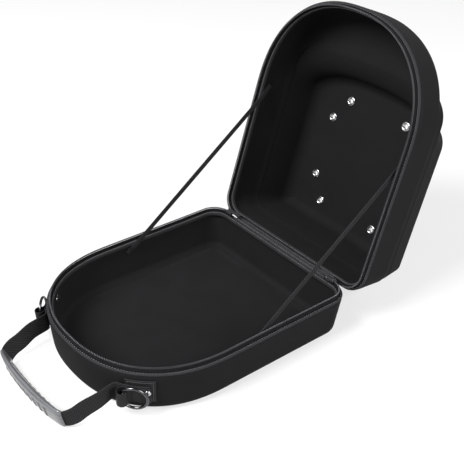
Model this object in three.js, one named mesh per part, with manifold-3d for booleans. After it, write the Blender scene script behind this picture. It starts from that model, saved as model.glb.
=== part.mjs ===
// A semi-hard travel case, standing open. Millimetres, +Z up.
// X runs along the hinge, -Y points to the carrying handle and +Y to the hinge.
// The origin is the centre of the tray's underside, which stands on z = 0.
import * as THREE from "three";
import { mergeVertices } from "three/addons/utils/BufferGeometryUtils.js";
import Module from "manifold-3d";

// Plan outline shared by both halves: parallel sides, a full arch at one end, round corners at the hinge
const CASE_WIDTH = 315;
const CASE_LENGTH = 395;
const ARCH_DEPTH = 165;
const ARCH_EXPONENT = 2.3;
const HINGE_CORNER_RADIUS = 35;

// Tray
const TRAY_HEIGHT = 71;
const TRAY_DRAFT = 8.6;
const TRAY_EDGE_RADIUS = 15;
const TRAY_WALL = 5;
const TRAY_FLOOR = 6;
const TRAY_INNER_RADIUS = 9;

// Lid: a shallow zone over the whole outline and a deep zone over the hinge end
const LID_ANGLE_DEG = 105;
const LID_SETBACK = 7;
const LID_DROP = 8;
const LID_SIDE_SHIFT = 8;
const LID_WALL = 4;
const SHALLOW_DEPTH = 70;
const SHALLOW_DRAFT = 8;
const SHALLOW_EDGE_RADIUS = 19;
const CROWN_RISE = 5;
const CROWN_REACH = 0.47;
const DEEP_DEPTH = 124;
const DEEP_LENGTH = 299;
const DEEP_SIDE_STEP = 9;
const DEEP_DRAFT = 15.6;
const DEEP_HINGE_SPREAD = 5;
const DEEP_EDGE_RADIUS = 17;
const DEEP_ROOT_RADIUS = 40;
const DEEP_ARCH_DEPTH = 78;
const DEEP_ARCH_EXPONENT = 2.4;
const LID_CENTRE_ALONG = 150;
const ZONE_BLEND = 4;

// Rim build-up: insets from the outline, depths below the rim plane, rises above it
const SHELL_TOP_DEPTH = 4.5;
const SHELL_TOP_INSET = 0.5;
const RIM_LEDGE = 5;
const PIPING_RADIUS = 2;
const PIPING_INSET = 2.3;
const PIPING_DEPTH = 2.2;
const TAPE_THICKNESS = 1;
const TAPE_FOOT_INSET = 5.3;
const TAPE_HEAD_INSET = 5.9;
const TAPE_FOOT_DEPTH = 4.2;
const TAPE_RISE = 4.4;
const COIL_RADIUS = 1.6;
const COIL_INSET = 6.1;
const COIL_RISE = 6.4;
const BINDING_GAP = 0.55;
const BINDING_WIDTH = 4.8;
const BINDING_TOP_DEPTH = 0.2;
const BINDING_HEIGHT = 8;
const TAPE_END_SETBACK = 9.5;
const COIL_END_OVERRUN = 3.5;

// Textile hinge
const HINGE_THICKNESS = 1.3;
const HINGE_END_GAP = 1;
const HINGE_TUCK = 4.2;
const HINGE_RIM_DEPTH = 0.4;
const HINGE_ON_TRAY = { inset: 3.4, rise: 0.65 };
const HINGE_BETWEEN = { inset: -1.6, rise: 0.85 };
const HINGE_ON_LID = { inset: 5, rise: 3.65 };
const HINGE_LID_TURN = 5.6;

// Vent eyelets through the deep zone
const EYELETS = [
  { row: "top", across: 57.8, along: 232.7 },
  { row: "upper", across: 83.8, along: 195.6 },
  { row: "lower", across: 83.8, along: 93.9 },
  { row: "bottom", across: 57.8, along: 54.5 },
];
const EYELET_FLANGE_RADIUS = 7.8;
const EYELET_BORE_RADIUS = 4.2;
const EYELET_HOLE_RADIUS = 5.6;
const EYELET_FLANGE = 1.2;
const EYELET_CLEARANCE = 0.35;

// Tabs on the arch wall that hold the rings and the handle
const TAB_ANGLE_DEG = 49;
const TAB_HEIGHT = 38;
const PATCH_LENGTH = 42;
const PATCH_OFFSET = 8;
const PATCH_HEIGHT = 40;
const PATCH_RISE = 2.5;
const PATCH_THICKNESS = 1.6;
const PATCH_CLEARANCE = 0.6;
const LOOP_HEIGHT = 25;
const LOOP_RADIUS = 7.9;
const LOOP_WALL = 1.5;
const LOOP_ALONG = -14;
const LOOP_TAIL_END = 24;
const LOOP_TAIL_THICKNESS = 2.8;
const LOOP_JOIN_ANGLE = -0.42;
const LAYER_CLEARANCE = 0.6;
const RING_RADIUS = 18.5;
const RING_WIRE_RADIUS = 2;
const RING_PLAY = 2;
const RIVET_ALONG = 18.5;
const RIVET_RISE = 7.5;
const RIVET_CAP_RADIUS = 4.5;
const RIVET_CAP_HEIGHT = 1.8;
const RIVET_SHAFT_RADIUS = 1.8;
const RIVET_HEAD_RADIUS = 7.2;
const RIVET_HEAD_HEIGHT = 1.9;
const RIVET_CLEARANCE = 0.3;
const RIVET_HEAD_CLEARANCE = 0.9;

// Carrying handle: a webbing strap from tab to tab through a moulded grip that lies on the ground
const WEBBING_WIDTH = 28;
const WEBBING_THICKNESS = 2.2;
const WEBBING_LEAN = 0.4;
const WEBBING_SWAY = 0.2;
const WEBBING_ON_TAB = [22, 16, 10, 4, -2, -8, -14, -20, -25];
const HANDLE_REACH = 61;
const HANDLE_HALF_SPAN = 85;
const HANDLE_HEIGHT = 16.8;
const HANDLE_ROUTE = [
  { across: 1.041, out: 0.09, up: 0.735 },
  { across: 1, out: 0.4, up: 0.447 },
  { across: 0.982, out: 0.664, up: 0.204 },
  { across: 0.894, out: 0.861, up: 0.035 },
  { across: 0.706, out: 0.934, up: 0.009 },
  { across: 0.376, out: 0.984, up: 0 },
  { across: 0, out: 1, up: 0 },
];
const LEAN_FROM = -0.4;
const LEAN_TO = 0.6;
const TUNNEL_FROM = 0.62;
const GRIP_FROM = 0.7;
const GRIP_END_MARGIN = 8;
const GRIP_EDGE = 2;
const GRIP_END_THICKNESS = 6.4;
const GRIP_THICKNESS = 11.5;
const GRIP_TAPER_POWER = 2.4;
const GRIP_SECTION_POWER = 2.9;
const GRIP_CLEARANCE = 0.35;
const GRIP_RIBS = 9;
const GRIP_RIB_PITCH = 12;
const GRIP_RIB_RISE = 1.1;
const GRIP_RIB_LENGTH = 5.2;
const GRIP_RIB_WIDTH = 19;

// Stay straps that hold the lid open
const STAY_WIDTH = 9;
const STAY_THICKNESS = 1.2;
const STAY_INSET = 12;
const STAY_TRAY_ALONG = 182.5;
const STAY_TRAY_DEPTH = 10;
const STAY_LID_ALONG = 208;
const STAY_LID_DEPTH = 7;
const STAY_END_LENGTH = 9;
const STAY_END_OFFSET = 2.6;
const STAY_TRAY_STEP = 6;
const STAY_LID_STEP = 13;

// Zip sliders and their pulls
const SLIDER_LENGTH = 13;
const SLIDER_WIDTH = 8;
const SLIDER_HEIGHT = 4;
const SLIDER_CLEARANCE = 0.6;
const SLIDER_SETBACK = 4.5;
const BRIDGE_LENGTH = 9;
const BRIDGE_WIDTH = 1.6;
const BRIDGE_HEIGHT = 3.3;
const BRIDGE_BAR = 1;
const BRIDGE_GAP_LENGTH = 5.4;
const PULL_LENGTH = 24;
const PULL_WIDTH = 7;
const PULL_THICKNESS = 1.5;
const PULL_BAR = 1.6;
const PULL_EYE_LENGTH = 4.9;
const PULL_EYE_WIDTH = 3;

// Facets
const RIM_STEPS = { corner: 4, side: 3, arch: 14 };
const SECTION_STEPS = { corner: 10, side: 4, arch: 40 };
const CORD_SIDES = 5;
const HOLE_SIDES = 10;
const BEND_ANGLES_DEG = [0, 32, 60, 90];
const WEBBING_STATIONS = 48;
const HINGE_STATIONS = 14;
const PATCH_STATIONS = 8;
const LOOP_TAIL_STATIONS = 6;
const LOOP_SIDES = 12;
const GRIP_STATIONS = 16;
const GRIP_SAMPLES = 400;
const GRIP_SIDES = 12;

const FINISHES = {
  shell: { color: "#1c1c1e", roughness: 0.9, metalness: 0 },
  binding: { color: "#161618", roughness: 0.9, metalness: 0 },
  trim: { color: "#232325", roughness: 0.85, metalness: 0 },
  coil: { color: "#2c2c2e", roughness: 0.5, metalness: 0 },
  webbing: { color: "#1f1f21", roughness: 0.95, metalness: 0 },
  tab: { color: "#252527", roughness: 0.55, metalness: 0 },
  nickel: { color: "#cfcfd2", roughness: 0.2, metalness: 1 },
  gunmetal: { color: "#55565a", roughness: 0.25, metalness: 1 },
  grip: { color: "#5c5d60", roughness: 0.35, metalness: 0 },
  slider: { color: "#2a2a2c", roughness: 0.4, metalness: 0.6 },
};

const { degToRad, smoothstep } = THREE.MathUtils;
const V = (x, y, z) => new THREE.Vector3(x, y, z);
const halfLength = CASE_LENGTH / 2;
const halfWidth = CASE_WIDTH / 2;
const cornerStart = halfWidth - HINGE_CORNER_RADIUS;

// Closed geometries and the joins and cuts between them

const wasm = await Module();
wasm.setup();

function solidOf(geometry) {
  const bare = geometry.clone();
  bare.deleteAttribute("normal");
  bare.deleteAttribute("uv");
  const merged = mergeVertices(bare, 1e-4);
  const triVerts = new Uint32Array(merged.index.array);
  const make = () =>
    new wasm.Manifold(new wasm.Mesh({ numProp: 3, vertProperties: merged.attributes.position.array, triVerts }));
  const made = make();
  if (made.volume() > 0) return made;
  for (let i = 0; i < triVerts.length; i += 3)
    [triVerts[i], triVerts[i + 1]] = [triVerts[i + 1], triVerts[i]];
  return make();
}

function geometryOf(solid) {
  const { vertProperties, triVerts } = solid.getMesh();
  const geometry = new THREE.BufferGeometry();
  geometry.setAttribute("position", new THREE.BufferAttribute(vertProperties, 3));
  geometry.setIndex(new THREE.BufferAttribute(triVerts, 1));
  geometry.computeVertexNormals();
  return geometry;
}

const join = (first, ...others) =>
  geometryOf(others.reduce((solid, other) => solid.add(solidOf(other)), solidOf(first)));

const cut = (body, ...tools) =>
  geometryOf(tools.reduce((solid, tool) => solid.subtract(solidOf(tool)), solidOf(body)));

// A skin through rings of points that all have the same count; open ones get flat fans as caps.
function loft(rings, closed = false) {
  const n = rings[0].length;
  const position = rings.flat().flatMap((p) => [p.x, p.y, p.z]);
  const index = [];
  const spans = closed ? rings.length : rings.length - 1;
  for (let k = 0; k < spans; k++)
    for (let i = 0; i < n; i++) {
      const next = ((k + 1) % rings.length) * n;
      const a = k * n + i;
      const b = k * n + ((i + 1) % n);
      index.push(a, b, next + ((i + 1) % n), a, next + ((i + 1) % n), next + i);
    }
  const caps = closed ? [] : [0, rings.length - 1];
  for (const ring of caps) {
    const hub = position.length / 3;
    const middle = rings[ring].reduce((sum, p) => sum.add(p), V(0, 0, 0)).divideScalar(n);
    position.push(...middle);
    for (let i = 0; i < n; i++) {
      const edge = [ring * n + i, ring * n + ((i + 1) % n)];
      index.push(hub, ...(ring === 0 ? edge.reverse() : edge));
    }
  }
  const geometry = new THREE.BufferGeometry();
  geometry.setAttribute("position", new THREE.Float32BufferAttribute(position, 3));
  geometry.setIndex(index);
  return geometryOf(solidOf(geometry));
}

function mesh(parent, name, geometry, finish) {
  const made = new THREE.Mesh(geometryOf(solidOf(geometry)), new THREE.MeshStandardMaterial(FINISHES[finish]));
  made.name = name;
  parent.add(made);
}

// Groups. In the tray's and the lid's own frames x runs across, y from the hinge end towards the arch,
// and z from the rim plane into the shell, so that the same rim pieces serve both.

const part = new THREE.Group();
part.name = "travel_case";

const tray = new THREE.Group();
tray.name = "tray";
tray.position.set(0, halfLength, TRAY_HEIGHT);
tray.rotation.x = Math.PI;

const lid = new THREE.Group();
lid.name = "lid";
lid.position.set(LID_SIDE_SHIFT, halfLength + LID_SETBACK, TRAY_HEIGHT - LID_DROP);
lid.rotation.set(-degToRad(LID_ANGLE_DEG), 0, Math.PI);

part.add(tray, lid);
part.updateMatrixWorld(true);
const trayPoint = (x, along, depth) => V(x, along, depth).applyMatrix4(tray.matrixWorld);
const lidPoint = (x, along, depth) => V(-x, along, depth).applyMatrix4(lid.matrixWorld);

// Plan outlines, as [across, along] from the hinge end

function archedOutline(length, archDepth, exponent, steps) {
  const r = HINGE_CORNER_RADIUS;
  const straight = length - archDepth - r;
  const right = [];
  for (let i = 0; i <= steps.corner; i++) {
    const t = (i / steps.corner) * (Math.PI / 2);
    right.push([cornerStart + r * Math.sin(t), r - r * Math.cos(t)]);
  }
  for (let i = 1; i <= steps.side; i++) right.push([halfWidth, r + (straight * i) / steps.side]);
  for (let i = 1; i < steps.arch; i++) {
    const t = (i / steps.arch) * (Math.PI / 2);
    const across = halfWidth * Math.cos(t) ** (2 / exponent);
    right.push([across, length - archDepth + archDepth * Math.sin(t) ** (2 / exponent)]);
  }
  const left = right.map(([x, along]) => [-x, along]).reverse();
  return [...right, [0, length], ...left];
}

// Moves every point of a convex outline inwards along its own normal.
function inset(points, amount) {
  const n = points.length;
  return points.map(([x, along], i) => {
    const before = points[(i + n - 1) % n];
    const after = points[(i + 1) % n];
    const run = [after[0] - before[0], after[1] - before[1]];
    const size = Math.hypot(...run);
    return [x - (run[1] / size) * amount, along + (run[0] / size) * amount];
  });
}

// How far an outline lies from a centre in a direction.
function reach(points, centre, angle) {
  const ray = [Math.cos(angle), Math.sin(angle)];
  let best = 0;
  points.forEach((p, i) => {
    const q = points[(i + 1) % points.length];
    const edge = [q[0] - p[0], q[1] - p[1]];
    const det = ray[0] * edge[1] - ray[1] * edge[0];
    if (Math.abs(det) < 1e-9) return;
    const from = [p[0] - centre[0], p[1] - centre[1]];
    const distance = (from[0] * edge[1] - from[1] * edge[0]) / det;
    const share = (from[0] * ray[1] - from[1] * ray[0]) / det;
    if (share >= -1e-6 && share <= 1 + 1e-6) best = Math.max(best, distance);
  });
  return best;
}

const rim = archedOutline(CASE_LENGTH, ARCH_DEPTH, ARCH_EXPONENT, RIM_STEPS);
const rimRing = (amount, depth) => inset(rim, amount).map(([x, along]) => V(x, along, depth));

// Tray shell: drafted wall, rounded edges, flat floor

const trayInset = (depth) => (TRAY_DRAFT * depth) / TRAY_HEIGHT;

function trayBend(floorDepth, radius, wall) {
  return BEND_ANGLES_DEG.map((angle) => {
    const t = degToRad(angle);
    const depth = floorDepth - radius + radius * Math.sin(t);
    return rimRing(wall + trayInset(depth) + radius * (1 - Math.cos(t)), depth);
  });
}

function trayShell() {
  return loft([
    ...trayBend(TRAY_HEIGHT, TRAY_EDGE_RADIUS, 0).reverse(),
    rimRing(SHELL_TOP_INSET, SHELL_TOP_DEPTH),
    rimRing(SHELL_TOP_INSET + RIM_LEDGE, SHELL_TOP_DEPTH),
    ...trayBend(TRAY_HEIGHT - TRAY_FLOOR, TRAY_INNER_RADIUS, TRAY_WALL),
  ]);
}

// Lid shell: at every level the larger of the shallow and the deep body, blended where they meet

const sectionRim = archedOutline(CASE_LENGTH, ARCH_DEPTH, ARCH_EXPONENT, SECTION_STEPS);
const lidCentre = [0, LID_CENTRE_ALONG];
const lidAngles = rim.map(([x, along]) => Math.atan2(along - lidCentre[1], x - lidCentre[0]));

// Extra inset of a rounded edge at a level below the top that it runs out to
function edgeInset(level, top, radius) {
  const into = Math.min(Math.max(level - top + radius, 0), radius);
  return radius - Math.sqrt(radius ** 2 - into ** 2);
}

// The deep body's outline at a height above the shallow one: a concave sweep at its arch, a steeper hinge end
function deepOutline(height) {
  const start = (-DEEP_HINGE_SPREAD * height) / (DEEP_DEPTH - SHALLOW_DEPTH);
  const below = Math.max(0, DEEP_ROOT_RADIUS - height);
  const sweep = DEEP_ROOT_RADIUS - Math.sqrt(DEEP_ROOT_RADIUS ** 2 - below ** 2);
  const length = DEEP_LENGTH + sweep - start;
  const outline = archedOutline(length, DEEP_ARCH_DEPTH, DEEP_ARCH_EXPONENT, SECTION_STEPS);
  return outline.map(([x, along]) => [x, along + start]);
}

function lidRing(level, wall) {
  const shallowTop = SHALLOW_DEPTH - wall;
  const above = (level - shallowTop) / CROWN_RISE;
  const height = Math.max(0, level - shallowTop);
  const shallowDraft = (SHALLOW_DRAFT * Math.min(level, shallowTop)) / SHALLOW_DEPTH;
  const shallowInset = wall + shallowDraft + edgeInset(level, shallowTop, SHALLOW_EDGE_RADIUS - wall);
  const deepDraft = DEEP_SIDE_STEP + (DEEP_DRAFT * height) / (DEEP_DEPTH - SHALLOW_DEPTH);
  const deepInset = wall + deepDraft + edgeInset(level, DEEP_DEPTH - wall, DEEP_EDGE_RADIUS - wall);
  const shallow = inset(sectionRim, shallowInset);
  const deep = inset(deepOutline(height), deepInset);
  const crown = 1 - CROWN_REACH * Math.min(Math.max(above, 0), 1);
  return lidAngles.map((angle) => {
    const b = reach(deep, lidCentre, angle);
    const a = above > 1 ? 0 : crown * reach(shallow, lidCentre, angle);
    const r = above > 1 ? b : (a + b + Math.hypot(a - b, ZONE_BLEND)) / 2;
    return V(lidCentre[0] + r * Math.cos(angle), lidCentre[1] + r * Math.sin(angle), level);
  });
}

function lidSkin(wall) {
  const shallowTop = SHALLOW_DEPTH - wall;
  const deepTop = DEEP_DEPTH - wall;
  const edge = DEEP_EDGE_RADIUS - wall;
  const shoulder = [1.05, 0.47, 0.1].map((share) => shallowTop - share * SHALLOW_EDGE_RADIUS);
  const step = [0.5, 1, 1.9, 3.6].map((share) => shallowTop + share * CROWN_RISE);
  const roof = [1, 0.5, 0.14, 0].map((share) => deepTop - share * edge);
  return [...shoulder, ...step, ...roof].map((level) => lidRing(level, wall));
}

function lidShell() {
  return loft([
    ...lidSkin(0).reverse(),
    rimRing(SHELL_TOP_INSET, SHELL_TOP_DEPTH),
    rimRing(SHELL_TOP_INSET + RIM_LEDGE, SHELL_TOP_DEPTH),
    ...lidSkin(LID_WALL),
  ]);
}

// Rim pieces: a profile of [inset, depth] points carried along the outline

function rimBand(profile) {
  const loops = profile.map(([amount, depth]) => rimRing(amount, depth));
  return loft(rim.map((_, i) => loops.map((loop) => loop[i])), true);
}

// The same, left open at the hinge between two ends.
function openRimBand(profile, endX) {
  const lines = profile.map(([amount, depth]) => {
    const line = rimRing(amount, depth).filter((p) => p.y > halfLength || Math.abs(p.x) > endX);
    return [V(endX, amount, depth), ...line, V(-endX, amount, depth)];
  });
  return loft(lines[0].map((_, i) => lines.map((line) => line[i])));
}

function cordProfile(amount, depth, radius) {
  return Array.from({ length: CORD_SIDES }, (_, i) => {
    const t = ((i + 0.5) / CORD_SIDES) * 2 * Math.PI;
    return [amount + radius * Math.cos(t), depth + radius * Math.sin(t)];
  });
}

const bindingProfile = [
  { across: 0.05, down: 1 },
  { across: 0.7, down: 0.96 },
  { across: 1, down: 0.55 },
  { across: 0.82, down: 0.12 },
  { across: 0.45, down: 0 },
  { across: 0.16, down: 0.2 },
].map(({ across, down }) => [
  SHELL_TOP_INSET + RIM_LEDGE + BINDING_GAP + BINDING_WIDTH * across,
  BINDING_TOP_DEPTH + BINDING_HEIGHT * down,
]);

const tapeProfile = [
  [TAPE_FOOT_INSET - TAPE_THICKNESS / 2, TAPE_FOOT_DEPTH],
  [TAPE_FOOT_INSET + TAPE_THICKNESS / 2, TAPE_FOOT_DEPTH],
  [TAPE_HEAD_INSET + TAPE_THICKNESS / 2, -TAPE_RISE],
  [TAPE_HEAD_INSET - TAPE_THICKNESS / 2, -TAPE_RISE],
];

const tapeEnd = cornerStart - TAPE_END_SETBACK;
for (const [group, name] of [[tray, "tray"], [lid, "lid"]]) {
  mesh(group, name + "_piping", rimBand(cordProfile(PIPING_INSET, PIPING_DEPTH, PIPING_RADIUS)), "trim");
  mesh(group, name + "_binding", rimBand(bindingProfile), "binding");
  mesh(group, name + "_zip_tape", openRimBand(tapeProfile, tapeEnd), "trim");
  const coil = cordProfile(COIL_INSET, -COIL_RISE, COIL_RADIUS);
  mesh(group, name + "_zip_coil", openRimBand(coil, cornerStart + COIL_END_OVERRUN), "coil");
}

// Bands carried along a list of stations, each with a point and its width and normal directions

function sweptBand(stations, section) {
  return loft(
    stations.map(({ p, width, normal }, i) =>
      section(i).map(([n, w]) => p.clone().addScaledVector(normal, n).addScaledVector(width, w)),
    ),
  );
}

const flatSection = (thickness, width) => () => [
  [-thickness / 2, -width / 2],
  [thickness / 2, -width / 2],
  [thickness / 2, width / 2],
  [-thickness / 2, width / 2],
];

// Textile hinge: out of the tray's rim, over both pipings and into the lid's rim

function hingeStrip() {
  const over = HINGE_THICKNESS / 2;
  const route = [
    trayPoint(0, TAPE_FOOT_INSET, HINGE_TUCK),
    trayPoint(0, TAPE_FOOT_INSET, HINGE_RIM_DEPTH),
    trayPoint(0, HINGE_ON_TRAY.inset, -over - HINGE_ON_TRAY.rise),
    trayPoint(0, HINGE_BETWEEN.inset, -over - HINGE_BETWEEN.rise),
    lidPoint(0, HINGE_ON_LID.inset, -over - HINGE_ON_LID.rise),
    lidPoint(0, HINGE_LID_TURN, -HINGE_RIM_DEPTH),
    lidPoint(0, TAPE_FOOT_INSET, HINGE_TUCK),
  ].map((p) => V(0, p.y, p.z));
  const curve = new THREE.CatmullRomCurve3(route, false, "centripetal");
  const width = V(1, 0, 0);
  const stations = Array.from({ length: HINGE_STATIONS + 1 }, (_, i) => {
    const normal = curve.getTangent(i / HINGE_STATIONS).cross(width).normalize();
    return { p: curve.getPoint(i / HINGE_STATIONS), width, normal };
  });
  return sweptBand(stations, flatSection(HINGE_THICKNESS, 2 * (tapeEnd - LID_SIDE_SHIFT - HINGE_END_GAP)));
}
mesh(part, "hinge_strip", hingeStrip(), "trim");

// Tab frame on the arch wall: x along the wall towards the hinge, y up the drafted wall, z outwards

const tabDepth = TRAY_HEIGHT - TAB_HEIGHT;

function archPoint(t) {
  const across = halfWidth * Math.cos(t) ** (2 / ARCH_EXPONENT);
  const out = ARCH_DEPTH * Math.sin(t) ** (2 / ARCH_EXPONENT);
  return V(across, halfLength - CASE_LENGTH + ARCH_DEPTH - out, TAB_HEIGHT);
}

function tabFrame() {
  const t = degToRad(TAB_ANGLE_DEG);
  const along = archPoint(t - 1e-4).sub(archPoint(t)).normalize();
  const outwards = V(along.y, -along.x, 0);
  const tilt = Math.atan(TRAY_DRAFT / TRAY_HEIGHT);
  const up = V(0, 0, Math.cos(tilt)).addScaledVector(outwards, Math.sin(tilt));
  const origin = archPoint(t).addScaledVector(outwards, -trayInset(tabDepth));
  return new THREE.Matrix4().makeBasis(along, up, along.clone().cross(up)).setPosition(origin);
}

const tab = tabFrame();
const wallLine = rimRing(trayInset(tabDepth), tabDepth).map((p) =>
  p.applyMatrix4(tray.matrixWorld).applyMatrix4(tab.clone().invert()),
);

// How far the curved wall lies from the tab's plane, at a distance along it; negative is inwards.
function wallAt(along) {
  const i = wallLine.findIndex((p, k) => p.x >= along && wallLine[k + 1].x < along && p.z > -halfWidth / 2);
  const [p, q] = wallLine.slice(i, i + 2);
  return p.z + ((q.z - p.z) * (along - p.x)) / (q.x - p.x);
}

// Layers on the wall, each seated on the one below
const patchTop = PATCH_CLEARANCE + PATCH_THICKNESS;
const webbingMiddle = patchTop + LAYER_CLEARANCE + WEBBING_THICKNESS / 2;
const tailUnder = webbingMiddle + WEBBING_THICKNESS / 2 + LAYER_CLEARANCE;
const tailTop = tailUnder + LOOP_TAIL_THICKNESS;
const loopMiddle = tailUnder + wallAt(LOOP_ALONG) + LOOP_RADIUS;

function rivetFrame() {
  const slope = wallAt(RIVET_ALONG + RIVET_SHAFT_RADIUS) - wallAt(RIVET_ALONG - RIVET_SHAFT_RADIUS);
  const across = V(2 * RIVET_SHAFT_RADIUS, 0, slope);
  across.normalize();
  const outwards = V(-across.z, 0, across.x);
  return new THREE.Matrix4()
    .makeBasis(across, outwards, across.clone().cross(outwards))
    .setPosition(RIVET_ALONG, RIVET_RISE, wallAt(RIVET_ALONG));
}

function rivetHole() {
  const radius = RIVET_SHAFT_RADIUS + RIVET_CLEARANCE;
  const length = 2 * (TRAY_WALL + tailTop + LOOP_RADIUS);
  return new THREE.CylinderGeometry(radius, radius, length, HOLE_SIDES).applyMatrix4(rivetFrame());
}

function rivet() {
  const under = -TRAY_WALL - RIVET_HEAD_CLEARANCE;
  const over = tailTop + RIVET_CLEARANCE;
  const profile = [
    [0, under - RIVET_HEAD_HEIGHT],
    [RIVET_HEAD_RADIUS * 0.72, under - RIVET_HEAD_HEIGHT * 0.9],
    [RIVET_HEAD_RADIUS, under - RIVET_HEAD_HEIGHT * 0.4],
    [RIVET_HEAD_RADIUS, under],
    [RIVET_SHAFT_RADIUS, under],
    [RIVET_SHAFT_RADIUS, over],
    [RIVET_CAP_RADIUS, over],
    [RIVET_CAP_RADIUS * 0.92, over + RIVET_CAP_HEIGHT * 0.5],
    [RIVET_CAP_RADIUS * 0.55, over + RIVET_CAP_HEIGHT * 0.9],
    [0, over + RIVET_CAP_HEIGHT],
  ];
  const points = profile.map(([r, y]) => new THREE.Vector2(r, y));
  return new THREE.LatheGeometry(points, HOLE_SIDES).applyMatrix4(rivetFrame());
}

function patch() {
  const from = PATCH_OFFSET - PATCH_LENGTH / 2;
  const stations = Array.from({ length: PATCH_STATIONS + 1 }, (_, i) => from + (PATCH_LENGTH * i) / PATCH_STATIONS);
  const middle = PATCH_CLEARANCE + PATCH_THICKNESS / 2;
  const width = V(0, 1, 0);
  const normal = V(0, 0, 1);
  const band = stations.map((along) => ({ p: V(along, PATCH_RISE, wallAt(along) + middle), width, normal }));
  return cut(sweptBand(band, flatSection(PATCH_THICKNESS, PATCH_HEIGHT)), rivetHole());
}

// A tube round the ring with a tail of two layers that runs back along the wall to the rivet
function ringLoop() {
  const tail = Array.from({ length: LOOP_TAIL_STATIONS + 1 }, (_, i) => {
    const along = LOOP_ALONG + ((LOOP_TAIL_END - LOOP_ALONG) * i) / LOOP_TAIL_STATIONS;
    return [along, wallAt(along) + tailUnder];
  });
  const outline = new THREE.Shape();
  outline.moveTo(...tail[0]);
  for (const [along, out] of tail.slice(1)) outline.lineTo(along, out);
  for (const [along, out] of tail.slice(2).reverse()) outline.lineTo(along, out + LOOP_TAIL_THICKNESS);
  for (let i = 0; i < LOOP_SIDES; i++) {
    const t = LOOP_JOIN_ANGLE + (i / LOOP_SIDES) * (1.5 * Math.PI - LOOP_JOIN_ANGLE);
    outline.lineTo(LOOP_ALONG + LOOP_RADIUS * Math.cos(t), loopMiddle + LOOP_RADIUS * Math.sin(t));
  }
  const bore = new THREE.Path();
  bore.absarc(LOOP_ALONG, loopMiddle, LOOP_RADIUS - LOOP_WALL, 0, 2 * Math.PI, true);
  outline.holes.push(bore);
  const options = { depth: LOOP_HEIGHT, bevelEnabled: false, curveSegments: 7 };
  const extruded = new THREE.ExtrudeGeometry(outline, options);
  extruded.translate(0, 0, -LOOP_HEIGHT / 2).rotateX(Math.PI / 2);
  return cut(extruded, rivetHole());
}

function ring() {
  const torus = new THREE.TorusGeometry(RING_RADIUS, RING_WIRE_RADIUS, 6, 24);
  return torus.translate(LOOP_ALONG + RING_RADIUS - RING_PLAY, 0, loopMiddle);
}

const rivetHoles = [];
for (const side of ["right", "left"]) {
  const half = new THREE.Group();
  half.scale.x = side === "left" ? -1 : 1;
  const mount = new THREE.Group();
  tab.decompose(mount.position, mount.quaternion, mount.scale);
  half.add(mount);
  part.add(half);
  mesh(mount, "patch_" + side, patch(), "tab");
  mesh(mount, "ring_loop_" + side, ringLoop(), "tab");
  mesh(mount, "ring_" + side, ring(), "gunmetal");
  mesh(mount, "rivet_" + side, rivet(), "nickel");
  mount.updateWorldMatrix(true, false);
  rivetHoles.push(mount.matrixWorld);
}
const intoTray = tray.matrixWorld.clone().invert();
const trayHoles = rivetHoles.map((place) => rivetHole().applyMatrix4(place).applyMatrix4(intoTray));
mesh(tray, "tray_shell", cut(trayShell(), ...trayHoles), "shell");

// Handle webbing: along both tabs and round through the grip

function handleCurve() {
  const onWall = WEBBING_ON_TAB.map((along) =>
    V(along, 0, wallAt(along) + webbingMiddle).applyMatrix4(tab),
  );
  const free = HANDLE_ROUTE.map(({ across, out, up }) =>
    V(
      HANDLE_HALF_SPAN * across,
      -halfLength - HANDLE_REACH * out,
      HANDLE_HEIGHT + (TAB_HEIGHT - HANDLE_HEIGHT) * up,
    ),
  );
  const right = [...onWall, ...free];
  const left = right.slice(0, -1).map((p) => V(-p.x, p.y, p.z)).reverse();
  return new THREE.CatmullRomCurve3([...right, ...left], false, "centripetal");
}

const webbingCurve = handleCurve();
const wallUp = V(0, 0, 0).setFromMatrixColumn(tab, 1);

function handleStation(share) {
  const p = webbingCurve.getPoint(share);
  const t = webbingCurve.getTangent(share);
  const out = -p.y - halfLength;
  const away = smoothstep(out, LEAN_FROM * HANDLE_REACH, LEAN_TO * HANDLE_REACH);
  const leaning = V(-WEBBING_SWAY, -WEBBING_LEAN, 1);
  const width = V(Math.sign(p.x) * wallUp.x, wallUp.y, wallUp.z).lerp(leaning, away);
  width.addScaledVector(t, -width.dot(t)).normalize();
  return { p, t, width, normal: t.clone().cross(width).normalize(), out };
}

const handleStations = (count) => Array.from({ length: count + 1 }, (_, i) => handleStation(i / count));
const webbingStations = handleStations(WEBBING_STATIONS);

function handleWebbing() {
  const band = sweptBand(webbingStations, flatSection(WEBBING_THICKNESS, WEBBING_WIDTH));
  const holes = rivetHoles.map((place) => rivetHole().applyMatrix4(place));
  return cut(band, ...holes);
}
mesh(part, "handle_webbing", handleWebbing(), "webbing");

// Grip: a hollow boat-shaped sleeve, thickest in the middle, with short ribs on both faces

const gripHalfLength = HANDLE_HALF_SPAN - GRIP_END_MARGIN;
const gripHalfWidth = WEBBING_WIDTH / 2 + GRIP_EDGE;

function gripThickness(x) {
  const share = Math.min(1, Math.abs(x) / gripHalfLength);
  return GRIP_END_THICKNESS + (GRIP_THICKNESS - GRIP_END_THICKNESS) * (1 - share ** GRIP_TAPER_POWER);
}

// A rounded rectangle as a superellipse, with its corners between the axes.
function gripSection(thickness) {
  const power = 2 / GRIP_SECTION_POWER;
  return Array.from({ length: GRIP_SIDES }, (_, k) => {
    const t = ((k + 0.5) / GRIP_SIDES) * 2 * Math.PI;
    const across = Math.sign(Math.cos(t)) * Math.abs(Math.cos(t)) ** power;
    const along = Math.sign(Math.sin(t)) * Math.abs(Math.sin(t)) ** power;
    return [(across * thickness) / 2, along * gripHalfWidth];
  });
}

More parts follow.
